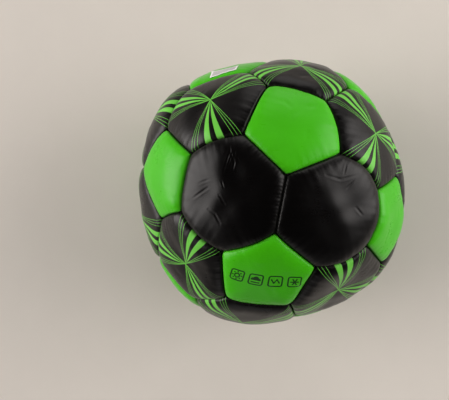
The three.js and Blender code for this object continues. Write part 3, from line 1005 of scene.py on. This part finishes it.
def core_surface(skin, seat):
    """Pierced plug with a small funnel that leads the pump needle in."""
    core = skin.sizes.core_radius / MM
    top = seat.top - STEM_RECESS
    profile = [
        (NEEDLE_HOLE_RADIUS, seat.sleeve_end),
        (core, seat.sleeve_end),
        (core, top),
        (FUNNEL_RADIUS, top),
        (NEEDLE_HOLE_RADIUS, top - FUNNEL_DEPTH),
    ]
    return turned(rounded(profile, CORE_ROUNDING), seat)


# Sticker

# Size and place of the paper sticker in millimetres, its lean, its cells along and across, and
# the rise and reach of the corner that curls up
STICKER_LENGTH = 20
STICKER_HEIGHT = 13
STICKER_THICKNESS = 0.25
STICKER_BORDER = 1.4
STICKER_UP = 21
STICKER_ASIDE = -2
STICKER_LEAN = math.radians(6)
STICKER_STEPS = (60, 36)
CURL_RISE = 0.9
CURL_REACH = 5


def sticker_surface(skin, panel, aim):
    """Paper bent over the panel along the seam that faces the aim, one corner coming up."""
    sizes = skin.sizes
    side = panel.sides[np.argmax(panel.sides @ -aim)]
    up = unit(panel.centre * (side @ panel.centre) - side)
    along = np.cross(up, panel.centre)
    columns, rows = STICKER_STEPS
    across, height = np.meshgrid(np.linspace(-0.5, 0.5, columns + 1), np.linspace(-0.5, 0.5, rows + 1))
    across = across.ravel() * STICKER_LENGTH
    height = height.ravel() * STICKER_HEIGHT
    aside = STICKER_ASIDE + across * math.cos(STICKER_LEAN) - height * math.sin(STICKER_LEAN)
    rise = STICKER_UP + across * math.sin(STICKER_LEAN) + height * math.cos(STICKER_LEAN)
    shift = along * aside[:, None] + up * rise[:, None]
    directions = unit(panel.centre * sizes.girth_radius + shift * MM)
    crowns = skin.crowns(directions, panel)
    from_corner = np.hypot(STICKER_LENGTH / 2 - across, STICKER_HEIGHT / 2 + height)
    curl = CURL_RISE * np.clip(1 - from_corner / CURL_REACH, 0, 1) ** 2 * MM
    flow = relief_over(skin, panel, directions) + curl
    places = np.stack((across, height), axis=1)
    surface = Surface()
    lift = sizes.clearance + STICKER_THICKNESS * MM
    front = surface.ring(skin.points(directions, crowns, -lift, flow), places)
    back = surface.ring(skin.points(directions, crowns, -sizes.clearance, flow), places)
    front = front.reshape(rows + 1, columns + 1)
    back = back.reshape(rows + 1, columns + 1)
    surface.add(*(part.ravel() for part in cells(front)))
    surface.add(*(part.ravel() for part in reversed(cells(back))))
    surface.band(rim_of(front), rim_of(back))
    return surface


def cells(grid):
    return grid[:-1, :-1], grid[:-1, 1:], grid[1:, 1:], grid[1:, :-1]


def rim_of(grid):
    return np.concatenate((grid[0, :-1], grid[:-1, -1], grid[-1, :0:-1], grid[:0:-1, 0]))


# Sums in node trees

class Value:
    """A number that changes over a surface, so that a pattern's sums read as sums. A colour that
    changes over the surface is handed on in one too."""

    def __init__(self, tree, socket):
        self.tree = tree
        self.socket = socket

    def worked(self, operation, *others, clamp=False):
        node = self.tree.nodes.new("ShaderNodeMath")
        node.operation = operation
        node.use_clamp = clamp
        for place, value in enumerate((self, *others)):
            feed(self.tree, value, node.inputs[place])
        return Value(self.tree, node.outputs[0])

    def __add__(self, other):
        return self.worked("ADD", other)

    def __sub__(self, other):
        return self.worked("SUBTRACT", other)

    def __mul__(self, other):
        return self.worked("MULTIPLY", other)

    def __truediv__(self, other):
        return self.worked("DIVIDE", other)

    def size(self):
        return self.worked("ABSOLUTE")

    def least(self, other):
        return self.worked("MINIMUM", other)

    def most(self, other):
        return self.worked("MAXIMUM", other)

    def squared(self):
        return self * self

    def rising(self, start, rise):
        """A start value with a rise that is as large as the number says."""
        return self * rise + start

    def within(self, limit):
        """How far the number is inside a limit on both sides of nought."""
        return self.size() * -1 + limit

    def between(self, low, high):
        """How far the number is inside a range."""
        return (self - low).least((self - high) * -1)

    def filled(self, softness):
        """1 where the number is above nought and 0 below it, with a soft step between."""
        return (self / softness).worked("ADD", 0.5, clamp=True)


def feed(tree, value, socket):
    """Links a value or a socket to a node's input, or writes a plain number there."""
    if isinstance(value, Value):
        tree.links.new(value.socket, socket)
    elif isinstance(value, bpy.types.NodeSocket):
        tree.links.new(value, socket)
    else:
        socket.default_value = value


def feed_inputs(tree, node, inputs):
    """Feeds a node's inputs by their names, written here in small letters with underscores."""
    for name, value in inputs.items():
        feed(tree, value, node.inputs[name.replace("_", " ").title()])
    return node


def add_node(tree, kind, settings=None, **inputs):
    """A node with its settings and its inputs."""
    node = tree.nodes.new(kind)
    for name, setting in (settings or {}).items():
        setattr(node, name, setting)
    return feed_inputs(tree, node, inputs)


def noise(tree, vector, scale, detail, roughness=0.5):
    """An uneven pattern between 0 and 1, about 0.5 on average."""
    node = add_node(
        tree, "ShaderNodeTexNoise", vector=vector, scale=scale, detail=detail, roughness=roughness)
    return Value(tree, node.outputs["Fac"])


def stretched(tree, vector, rotation, scale):
    """A place turned and then stretched, for patterns that run one way."""
    node = add_node(tree, "ShaderNodeMapping", vector=vector, rotation=rotation, scale=scale)
    return node.outputs["Vector"]


# Effects that several materials share. Lengths in them are millimetres.

SOCKET_KINDS = {"Vector": "NodeSocketVector", "Colour": "NodeSocketColor"}


class Effect:
    """A shared node group. Its named sockets are numbers, apart from vectors and colours."""

    def __init__(self, name, inputs, outputs):
        self.tree = bpy.data.node_groups.new(name, "ShaderNodeTree")
        for in_out, labels in (("INPUT", inputs), ("OUTPUT", outputs)):
            for label in labels:
                kind = SOCKET_KINDS.get(label, "NodeSocketFloat")
                self.tree.interface.new_socket(name=label, in_out=in_out, socket_type=kind)
        self.start = self.tree.nodes.new("NodeGroupInput")
        self.end = self.tree.nodes.new("NodeGroupOutput")
        self.vector = self.start.outputs["Vector"]

    def given(self, label):
        return Value(self.tree, self.start.outputs[label])

    def put_out(self, label, value):
        feed(self.tree, value, self.end.inputs[label])


def make_grain():
    """Fine uneven grain of a rolled or moulded surface: soft pebbles with pores over them."""
    pores_per_pebble = 2.3
    pebble_height = 0.6
    pore_height = 0.5
    effect = Effect("Grain", ("Vector", "Grain Size"), ("Height",))
    per_length = effect.given("Grain Size").worked("POWER", -1)
    pebbles = add_node(
        effect.tree, "ShaderNodeTexVoronoi", {"feature": "SMOOTH_F1"},
        vector=effect.vector, scale=per_length, smoothness=0.6)
    pores = noise(
        effect.tree, effect.vector, per_length * pores_per_pebble, detail=3.0, roughness=0.55)
    mounds = Value(effect.tree, pebbles.outputs["Distance"])
    effect.put_out("Height", mounds * pebble_height + pores * pore_height)


def make_handling():
    """Slow change of gloss, faint wiped streaks and fine scratches from handling."""
    streak_share = 0.3
    scratch_threshold = 0.68
    scratch_softness = 0.08
    effect = Effect("Handling", ("Vector", "Patch Size"), ("Dullness", "Scratches"))
    per_patch = effect.given("Patch Size").worked("POWER", -1)
    patches = noise(effect.tree, effect.vector, per_patch, detail=4.0, roughness=0.6)
    wiped = stretched(effect.tree, effect.vector, rotation=(0.3, 0.5, 0.7), scale=(0.04, 0.5, 0.5))
    streaks = noise(effect.tree, wiped, scale=1.0, detail=2.0)
    effect.put_out("Dullness", patches * (1 - streak_share) + streaks * streak_share)
    drawn = stretched(effect.tree, effect.vector, rotation=(1.1, 0.2, 0.4), scale=(0.05, 1.4, 1.4))
    scratches = noise(effect.tree, drawn, scale=1.0, detail=1.0) - scratch_threshold
    effect.put_out("Scratches", scratches.filled(scratch_softness))


def make_colour_drift():
    """Slight change of a colour from place to place, lighter and darker."""
    fine_share = 0.3
    effect = Effect("Colour Drift", ("Vector", "Colour", "Amount"), ("Colour",))
    slow = noise(effect.tree, effect.vector, scale=0.03, detail=3.0)
    fine = noise(effect.tree, effect.vector, scale=0.6, detail=2.0)
    swing = (slow * (1 - fine_share) + fine * fine_share - 0.5) * 2
    shifted = add_node(
        effect.tree, "ShaderNodeHueSaturation",
        color=effect.start.outputs["Colour"], value=swing * effect.given("Amount") + 1)
    effect.put_out("Colour", shifted.outputs["Color"])


def make_seam_dust():
    """Mask of the dust that gathers beside a seam, from the distance to it."""
    raggedness = 1.6
    density = 0.8
    effect = Effect("Seam Dust", ("Vector", "Distance", "Reach"), ("Mask",))
    ragged = noise(effect.tree, effect.vector, scale=0.7, detail=4.0) * raggedness
    near = effect.given("Distance") / effect.given("Reach")
    effect.put_out("Mask", (ragged - near).worked("MULTIPLY", density, clamp=True))


SHARED_EFFECTS = (make_grain, make_handling, make_colour_drift, make_seam_dust)


# Prints

# Rays on the black panels. Each fan spreads from the panel's middle to a seam between two black
# panels. A ray's place is the tangent of its angle from the middle of the fan.
FANS = 3
BROAD_RAY = (0.058, 0.196)
FINE_RAYS = (0.375, 0.460, 0.540)

# Width of a fine ray, and softness of a print's rim and of the ends of its lines, in millimetres
FINE_RAY_WIDTH = 0.4
PRINT_SOFTNESS = 0.22
LINE_END_SOFTNESS = 0.3

# Row of small symbols on a green panel, in millimetres on the panel's plane, and its turn in
# degrees
SYMBOL_ROW_MIDDLE = (1.2, -0.8)
SYMBOL_ROW_TURN = -10.8
SYMBOL_SPACING = 14.4
SYMBOL_HALF = 5.0
SYMBOL_CORNER = 1.8
SYMBOL_LINE = 1.15


def panel_place(tree):
    """Place on the panel's own plane, across and up, in millimetres."""
    places = add_node(tree, "ShaderNodeUVMap", {"uv_map": "Places"})
    split = add_node(tree, "ShaderNodeSeparateXYZ", vector=places.outputs["UV"])
    return Value(tree, split.outputs["X"]), Value(tree, split.outputs["Y"])


def length_of(across, up):
    return (across.squared() + up.squared()).worked("SQRT")


def folded_angle(x, y, folds):
    """Angle from the nearest of several spokes that stand evenly round the middle."""
    half = math.pi / folds
    return y.worked("ARCTAN2", x).worked("WRAP", half, -half)


def ray_print(tree):
    """Mask of the printed rays."""
    across, up = panel_place(tree)
    angle = folded_angle(across, up, FANS).size()
    ahead = length_of(across, up) * angle.worked("COSINE")
    place = angle.worked("TANGENT")
    mask = (place.between(*BROAD_RAY) * ahead).filled(PRINT_SOFTNESS)
    for fine in FINE_RAYS:
        near = (place - fine).size() * ahead * -1 + FINE_RAY_WIDTH / 2
        mask = mask.most(near.filled(PRINT_SOFTNESS))
    return mask


def line_at(distance):
    """Mask of a drawn line, from the distance to its middle."""
    return distance.within(SYMBOL_LINE / 2).filled(PRINT_SOFTNESS)


def symbol_print(tree):
    """Mask of four small outlined squares with a sun, a cloud, a wave and a snow star."""
    across, up = panel_place(tree)
    turn = math.radians(SYMBOL_ROW_TURN)
    middle_x, middle_y = SYMBOL_ROW_MIDDLE
    x = (across - middle_x) * math.cos(turn) + (up - middle_y) * math.sin(turn)
    y = (up - middle_y) * math.cos(turn) - (across - middle_x) * math.sin(turn)
    drawings = (sun, cloud, wave, snow_star)
    flat = SYMBOL_HALF - SYMBOL_CORNER
    symbols = []
    for place, drawing in enumerate(drawings):
        local = x - SYMBOL_SPACING * (place - (len(drawings) - 1) / 2)
        over_corner = length_of((local.size() - flat).most(0), (y.size() - flat).most(0))
        symbols.append(line_at(over_corner - SYMBOL_CORNER).most(drawing(local, y)))
    mask, *others = symbols
    for symbol in others:
        mask = mask.most(symbol)
    return mask


def sun(x, y):
    """A ring with short spokes round it."""
    ring_radius = 1.9
    spoke_count = 8
    spoke_ends = (2.9, 4.1)
    reach = length_of(x, y)
    along_spoke = reach.between(*spoke_ends).filled(LINE_END_SOFTNESS)
    spoke = line_at(reach * folded_angle(x, y, spoke_count)).least(along_spoke)
    return line_at(reach - ring_radius).most(spoke)


def cloud(x, y):
    """Three round puffs cut off level, over a line for the ground."""
    puffs = ((-2.2, 0.2, 1.6), (2.3, 0.1, 1.5), (0.1, 1.1, 2.2))
    foot_height = -0.7
    ground_height = -2.7
    ground_half = 3.2
    left, right, top = (length_of(x - across, y - up) * -1 + radius for across, up, radius in puffs)
    body = left.most(right).most(top).least(y - foot_height)
    ground = (y - ground_height).within(SYMBOL_LINE / 2).least(x.within(ground_half))
    return body.most(ground).filled(PRINT_SOFTNESS)


def wave(x, y):
    """A wavy line. It would be thin where it is steep, so the distance to it is made shorter."""
    angle_per_length = 1.5
    height = 1.5
    half_length = 3.3
    slope_share = 0.55
    bend = (x * angle_per_length).worked("SINE") * height
    ends = x.within(half_length).filled(LINE_END_SOFTNESS)
    return line_at((y - bend) * slope_share).least(ends)


def snow_star(x, y):
    """Spokes from the middle."""
    spoke_count = 6
    spoke_length = 3.5
    reach = length_of(x, y)
    ends = (reach * -1 + spoke_length).filled(LINE_END_SOFTNESS)
    return line_at(reach * folded_angle(x, y, spoke_count)).least(ends)


def sticker_field(tree):
    """Mask of the sticker's plain grey field inside its white border."""
    across, up = panel_place(tree)
    from_ends = across.within(STICKER_LENGTH / 2 - STICKER_BORDER)
    from_edges = up.within(STICKER_HEIGHT / 2 - STICKER_BORDER)
    return from_ends.least(from_edges).filled(PRINT_SOFTNESS)


# Materials

# How strongly the pieces reflect
GREEN_SHINE = 0.23
BLACK_SHINE = 0.26
RUBBER_SHINE = 0.35
FLOOR_SHINE = 0.2

# Sizes on the coated sheet in millimetres: its grain, its dull patches, the reach of the dust
# from a seam, and the scale of its fine relief
SHEET_GRAIN_SIZE = 0.9
SHEET_PATCH_SIZE = 22.0
DUST_REACH = 2.5
SHEET_RELIEF = 0.03

# Heights of the grain and the ink as shares of that relief
GRAIN_HEIGHT = 0.7
INK_HEIGHT = 0.35

# How far the colours of the sheet and its ink drift, and the share of the colour that dust takes
SHEET_DRIFT = 0.16
INK_DRIFT = 0.12
DUST_COVER = 0.10

# Least roughness of the sheet, and what dull patches, ink, dust and scratches add to it
SHEET_ROUGHNESS = 0.21
PATCH_DULLING = 0.16
INK_DULLING = 0.05
DUST_DULLING = 0.12
SCRATCH_DULLING = 0.06

# Size in millimetres of the duller patches on rubber, and how far they change its roughness
RUBBER_PATCH_SIZE = 9.0
RUBBER_PATCH_RANGE = 0.2


class Finish:
    """A material in the making, with the place on the surface in millimetres as its vector."""

    def __init__(self, name, shine=0.5):
        self.material = bpy.data.materials.new(name)
        self.material.use_nodes = True
        self.tree = self.material.node_tree
        self.tree.nodes.clear()
        self.shader = self.tree.nodes.new("ShaderNodeBsdfPrincipled")
        self.shader.inputs["Specular IOR Level"].default_value = shine
        output = self.tree.nodes.new("ShaderNodeOutputMaterial")
        self.tree.links.new(self.shader.outputs["BSDF"], output.inputs["Surface"])
        places = add_node(self.tree, "ShaderNodeTexCoord")
        scaled = add_node(
            self.tree, "ShaderNodeVectorMath", {"operation": "SCALE"},
            vector=places.outputs["Object"], scale=1 / MM)
        self.vector = scaled.outputs["Vector"]

    def effects(self, name, outputs, **inputs):
        """What a shared effect puts out, placed on this surface with its own values."""
        node = self.tree.nodes.new("ShaderNodeGroup")
        node.node_tree = bpy.data.node_groups[name]
        feed_inputs(self.tree, node, {"vector": self.vector, **inputs})
        return [Value(self.tree, node.outputs[output]) for output in outputs]

    def grain(self, size):
        return self.effects("Grain", ("Height",), grain_size=size)[0]

    def drifted(self, colour, amount):
        return self.effects("Colour Drift", ("Colour",), colour=tuple(colour), amount=amount)[0]

    def mixed(self, factor, first, second):
        node = add_node(self.tree, "ShaderNodeMix", {"data_type": "RGBA"}, factor=factor)
        for place, colour in (("A", first), ("B", second)):
            socket = next(s for s in node.inputs if s.name == place and s.type == "RGBA")
            feed(self.tree, colour, socket)
        return Value(self.tree, next(s for s in node.outputs if s.type == "RGBA"))

    def done(self, colour, roughness, height, relief):
        """The material with its colour, roughness and fine relief, whose scale is in millimetres."""
        bump = add_node(
            self.tree, "ShaderNodeBump", height=height, strength=1.0, distance=relief * MM)
        feed(self.tree, colour, self.shader.inputs["Base Color"])
        feed(self.tree, roughness, self.shader.inputs["Roughness"])
        feed(self.tree, bump.outputs["Normal"], self.shader.inputs["Normal"])
        return self.material


def sheet_material(name, ground, shine, dust_colour, print_mask=None, ink=None):
    """Glossy coated sheet: fine grain, handling, seam dust, and a print where there is one."""
    finish = Finish(name, shine)
    colour = finish.drifted(ground, SHEET_DRIFT)
    dullness, scratches = finish.effects(
        "Handling", ("Dullness", "Scratches"), patch_size=SHEET_PATCH_SIZE)
    roughness = dullness.rising(SHEET_ROUGHNESS, PATCH_DULLING)
    height = finish.grain(SHEET_GRAIN_SIZE) * GRAIN_HEIGHT
    if print_mask is not None:
        mask = print_mask(finish.tree)
        colour = finish.mixed(mask, colour, finish.drifted(ink, INK_DRIFT))
        roughness = roughness + mask * INK_DULLING
        height = height + mask * INK_HEIGHT
    attribute = add_node(finish.tree, "ShaderNodeAttribute", {"attribute_name": "seam_distance"})
    dust = finish.effects(
        "Seam Dust", ("Mask",), distance=attribute.outputs["Fac"], reach=DUST_REACH)[0]
    colour = finish.mixed(dust * DUST_COVER, colour, tuple(dust_colour))
    roughness = roughness + dust * DUST_DULLING + scratches * SCRATCH_DULLING
    return finish.done(colour, roughness, height, SHEET_RELIEF)


def rubber_material(name, colour, roughness, grain_size):
    """Matt moulded rubber, duller and glossier in patches."""
    finish = Finish(name, RUBBER_SHINE)
    dullness = finish.effects("Handling", ("Dullness",), patch_size=RUBBER_PATCH_SIZE)[0]
    patchy = dullness.rising(roughness - RUBBER_PATCH_RANGE / 2, RUBBER_PATCH_RANGE)
    return finish.done(
        finish.drifted(colour, amount=0.2), patchy, finish.grain(grain_size), relief=0.05)


def thread_material(colours):
    """Waxed thread with fine fibres on it."""
    finish = Finish("Waxed thread")
    colour = finish.drifted(colours.thread, amount=0.3)
    fibres = noise(finish.tree, finish.vector, scale=5.0, detail=3.0)
    roughness = fibres.rising(start=0.55, rise=0.2)
    return finish.done(colour, roughness, finish.grain(size=0.25), relief=0.04)


def paper_material(colours):
    """Coated white paper with a plain grey field."""
    finish = Finish("Sticker paper")
    ground = finish.drifted(colours.paper, amount=0.05)
    field = finish.drifted(colours.field, amount=0.08)
    colour = finish.mixed(sticker_field(finish.tree), ground, field)
    grain = finish.grain(size=0.3)
    return finish.done(colour, grain.rising(start=0.42, rise=0.15), grain, relief=0.01)


def floor_material(colours):
    """Plain pale matt floor."""
    finish = Finish("Pale floor", FLOOR_SHINE)
    colour = finish.drifted(colours.floor, amount=0.03)
    grain = finish.grain(size=1.5)
    return finish.done(colour, grain.rising(start=0.75, rise=0.1), grain, relief=0.02)


# Studio

# The photograph's frame and the camera that fits it. Its lens is in pixels, its sensor in
# millimetres, its places in metres and its roll in radians.
PHOTO_WIDTH = 449
FOCAL_PIXELS = 609.8
SENSOR_WIDTH = 36.0
CAMERA_PLACE = (0.0, 0.0, 0.62285)
CAMERA_AIM = (-0.0383, -0.0083, 0.09485)
CAMERA_ROLL = -0.0045
CAMERA_CLIP = 0.01

# Wide soft lamps: place, power in watts, and sizes in metres
LAMPS = (
    ("over_lamp", (0.0, 0.85, 1.7), 6.6, (1.8, 1.8)),
    ("left_lamp", (-1.15, 0.1, 0.55), 7.5, (1.6, 0.9)),
    ("right_lamp", (1.15, 0.05, 0.45), 12.5, (1.6, 0.9)),
)
LAMP_AIM = (0.0, 0.0, 0.1)

# Pale walls that glow low round the ball, and that its sheets reflect: azimuth and elevation in
# degrees, level, and spread on the unit sphere of directions. Each is even in its middle and
# falls off at its rim.
WALL_GLOWS = (
    (176, 14, 5.2, 0.46),
    (17, 14, 3.7, 0.41),
    (262, 8, 0.5, 0.35),
    (80, 8, 1.5, 0.42),
)

# Light of the rest of the room, from its level near the floor to its dark ceiling
SKY_COLOUR = (1.0, 0.95, 0.925, 1.0)
SKY_LEVELS = (0.15, 0.01)
SKY_HEIGHTS = (0.2, 0.75)
BACKDROP_COLOUR = linear(206, 199, 190)

# Round floor, in metres, and how many millimetres it lies below the ball
FLOOR_RADIUS = 1.15
FLOOR_SIDES = 96
FLOOR_GAP = 0.3


def aimed(place, aim, up):
    """Matrix of a camera or lamp at a place, looking at its aim."""
    back = (Vector(place) - Vector(aim)).normalized()
    right = Vector(up).cross(back).normalized()
    above = back.cross(right)
    matrix = Matrix((right, above, back)).transposed().to_4x4()
    matrix.translation = place
    return matrix


def add_holder(name, data, matrix):
    """The object that puts a camera or lamp in its place."""
    holder = bpy.data.objects.new(name, data)
    holder.matrix_world = matrix
    bpy.context.scene.collection.objects.link(holder)
    return holder


def add_camera():
    camera = bpy.data.cameras.new("camera")
    camera.sensor_fit = "HORIZONTAL"
    camera.sensor_width = SENSOR_WIDTH
    camera.lens = FOCAL_PIXELS / PHOTO_WIDTH * SENSOR_WIDTH
    camera.clip_start = CAMERA_CLIP
    up = (math.sin(CAMERA_ROLL), math.cos(CAMERA_ROLL), 0)
    bpy.context.scene.camera = add_holder("camera", camera, aimed(CAMERA_PLACE, CAMERA_AIM, up))


def add_lamps():
    """Lamps that light the scene but don't show as reflections."""
    for name, place, power, (width, height) in LAMPS:
        lamp = bpy.data.lights.new(name, "AREA")
        lamp.shape = "RECTANGLE"
        lamp.size = width
        lamp.size_y = height
        lamp.energy = power
        holder = add_holder(name, lamp, aimed(place, LAMP_AIM, (0, 1, 0)))
        holder.visible_glossy = False


def set_world():
    """Pale light that falls off toward a dark ceiling, with the glowing walls in it."""
    world = bpy.data.worlds.new("studio")
    world.use_nodes = True
    tree = world.node_tree
    tree.nodes.clear()
    direction = add_node(tree, "ShaderNodeTexCoord").outputs["Generated"]
    split = add_node(tree, "ShaderNodeSeparateXYZ", vector=direction)
    level = add_node(
        tree, "ShaderNodeMapRange", {"interpolation_type": "SMOOTHSTEP"}, value=split.outputs["Z"],
        from_min=SKY_HEIGHTS[0], from_max=SKY_HEIGHTS[1], to_min=SKY_LEVELS[0], to_max=SKY_LEVELS[1])
    strength = Value(tree, level.outputs["Result"])
    for azimuth, elevation, glow, spread in WALL_GLOWS:
        away = add_node(tree, "ShaderNodeVectorMath", {"operation": "DISTANCE"}, vector=direction)
        away.inputs[1].default_value = direction_at(azimuth, elevation)
        share = Value(tree, away.outputs["Value"]) / spread
        strength = strength + (share.squared().squared() * -1).worked("EXPONENT") * glow
    sky = add_node(tree, "ShaderNodeBackground", color=SKY_COLOUR, strength=strength)
    backdrop = add_node(tree, "ShaderNodeBackground", color=BACKDROP_COLOUR)
    rays = add_node(tree, "ShaderNodeLightPath")
    seen = add_node(tree, "ShaderNodeMixShader", fac=rays.outputs["Is Camera Ray"])
    tree.links.new(sky.outputs["Background"], seen.inputs[1])
    tree.links.new(backdrop.outputs["Background"], seen.inputs[2])
    add_node(tree, "ShaderNodeOutputWorld", surface=seen.outputs["Shader"])
    bpy.context.scene.world = world


def add_floor(colours):
    surface = Surface()
    rim = spokes(FLOOR_SIDES, np.array((FLOOR_RADIUS, 0, 0)), np.array((0, FLOOR_RADIUS, 0)))
    ring = surface.ring(rim - np.array((0, 0, FLOOR_GAP * MM)))
    surface.faces.append(ring.tolist())
    add_mesh("floor", surface, floor_material(colours))


# Operators

class Ball:
    """The sewn pattern, the skin over it and its colours, by the settings of a scene."""

    def __init__(self, scene):
        turn = pattern_turn()
        middles = icosahedron_corners()
        self.pentagons = pentagon_panels(turn, middles)
        self.hexagons = hexagon_panels(turn, middles)
        self.skin = Skin(scene.football_sizes, scene.football_relief)
        self.colours = scene.football_colours

    def panel(self, node):
        return next(panel for panel in self.pentagons + self.hexagons if panel.node == node)


class FOOTBALL_OT_studio(bpy.types.Operator):
    """Make the shared effects, the camera, the lamps, the sky and the floor"""

    bl_idname = "football.studio"
    bl_label = "Studio"

    def execute(self, context):
        for make_effect in SHARED_EFFECTS:
            make_effect()
        add_camera()
        add_lamps()
        set_world()
        add_floor(context.scene.football_colours)
        context.scene.view_settings.view_transform = "Standard"
        return {"FINISHED"}


class FOOTBALL_OT_green_panels(bpy.types.Operator):
    """Make the twelve green five-sided panels"""

    bl_idname = "football.green_panels"
    bl_label = "Green panels"

    def execute(self, context):
        ball = Ball(context.scene)
        colours = ball.colours
        coat = (colours.green_sheet, GREEN_SHINE, colours.dust)
        plain = sheet_material("Green sheet", *coat)
        printed = sheet_material("Green sheet with symbols", *coat, symbol_print, colours.print_dark)
        for panel in ball.pentagons:
            material = printed if panel.node == SYMBOL_PANEL else plain
            name = panel.node.replace("pentagon_panel", "green_panel")
            add_piece(name, panel_surface(ball.skin, panel), material, panel.node)
        return {"FINISHED"}


class FOOTBALL_OT_black_panels(bpy.types.Operator):
    """Make the twenty black six-sided panels, one of them pierced for the valve"""

    bl_idname = "football.black_panels"
    bl_label = "Black panels"

    def execute(self, context):
        ball = Ball(context.scene)
        colours = ball.colours
        coat = (colours.black_sheet, BLACK_SHINE, colours.dust)
        plain = sheet_material("Black sheet", *coat)
        printed = sheet_material("Black sheet with rays", *coat, ray_print, colours.print_green)
        for panel in ball.hexagons:
            material = plain if panel.node in PLAIN_BLACK_PANELS else printed
            name = panel.node.replace("hexagon_panel", "black_panel")
            surface = panel_surface(ball.skin, panel, pierced=panel.node == VALVE_PANEL)
            add_piece(name, surface, material, panel.node)
        return {"FINISHED"}


class FOOTBALL_OT_stitching(bpy.types.Operator):
    """Make the thread, its stitches and its knots"""

    bl_idname = "football.stitching"
    bl_label = "Stitching"

    def execute(self, context):
        ball = Ball(context.scene)
        surface = stitching_surface(ball.skin, ball.pentagons, ball.hexagons)
        add_piece("stitching", surface, thread_material(ball.colours), "seam_thread")
        return {"FINISHED"}


class FOOTBALL_OT_bladder(bpy.types.Operator):
    """Make the slack air bladder behind the panels"""

    bl_idname = "football.bladder"
    bl_label = "Bladder"

    def execute(self, context):
        ball = Ball(context.scene)
        surface = bladder_surface(ball.skin, ball.pentagons + ball.hexagons)
        material = rubber_material(
            "Bladder rubber", ball.colours.rubber, roughness=0.65, grain_size=1.2)
        add_piece("air_bladder", surface, material, "bladder")
        return {"FINISHED"}


class FOOTBALL_OT_valve(bpy.types.Operator):
    """Make the valve's rubber housing and its pierced core"""

    bl_idname = "football.valve"
    bl_label = "Valve"

    def execute(self, context):
        ball = Ball(context.scene)
        seat = ValveSeat(ball.skin, ball.panel(VALVE_PANEL))
        housing = rubber_material("Valve rubber", ball.colours.rubber, roughness=0.5, grain_size=0.6)
        add_piece(
            "valve_stem", housing_surface(ball.skin, seat), housing, "valve_housing")
        plug = rubber_material("Core rubber", ball.colours.plug, roughness=0.55, grain_size=0.4)
        add_piece("needle_plug", core_surface(ball.skin, seat), plug, "valve_core")
        return {"FINISHED"}


class FOOTBALL_OT_sticker(bpy.types.Operator):
    """Make the paper sticker on the green panel at the back"""

    bl_idname = "football.sticker"
    bl_label = "Sticker"

    def execute(self, context):
        ball = Ball(context.scene)
        aim = direction_at(*STICKER_SEAM_PLACE)
        surface = sticker_surface(ball.skin, ball.panel(STICKER_PANEL), aim)
        add_piece(
            "paper_sticker", surface, paper_material(ball.colours), "price_sticker")
        return {"FINISHED"}


class FOOTBALL_PT_tools(bpy.types.Panel):
    """Buttons for the pieces of the football"""

    bl_idname = "FOOTBALL_PT_tools"
    bl_label = "Football"
    bl_space_type = "VIEW_3D"
    bl_region_type = "UI"
    bl_category = "Football"

    def draw(self, context):
        layout = self.layout
        for operator in OPERATORS:
            layout.operator(operator.bl_idname)
        for settings in SETTINGS:
            box = layout.box()
            group = getattr(context.scene, settings)
            for name in group.__annotations__:
                box.prop(group, name)


OPERATORS = (
    FOOTBALL_OT_studio,
    FOOTBALL_OT_green_panels,
    FOOTBALL_OT_black_panels,
    FOOTBALL_OT_stitching,
    FOOTBALL_OT_bladder,
    FOOTBALL_OT_valve,
    FOOTBALL_OT_sticker,
)
SETTINGS = {
    "football_sizes": FootballSizes,
    "football_relief": FootballRelief,
    "football_colours": FootballColours,
}
CLASSES = (*SETTINGS.values(), *OPERATORS, FOOTBALL_PT_tools)


def register():
    for kind in CLASSES:
        bpy.utils.register_class(kind)
    for name, group in SETTINGS.items():
        setattr(bpy.types.Scene, name, PointerProperty(type=group))


def unregister():
    for name in SETTINGS:
        delattr(bpy.types.Scene, name)
    for kind in reversed(CLASSES):
        bpy.utils.unregister_class(kind)


def main():
    register()
    bpy.ops.football.studio()
    bpy.ops.football.green_panels()
    bpy.ops.football.black_panels()
    bpy.ops.football.stitching()
    bpy.ops.football.bladder()
    bpy.ops.football.valve()
    bpy.ops.football.sticker()


if __name__ == "__main__":
    main()
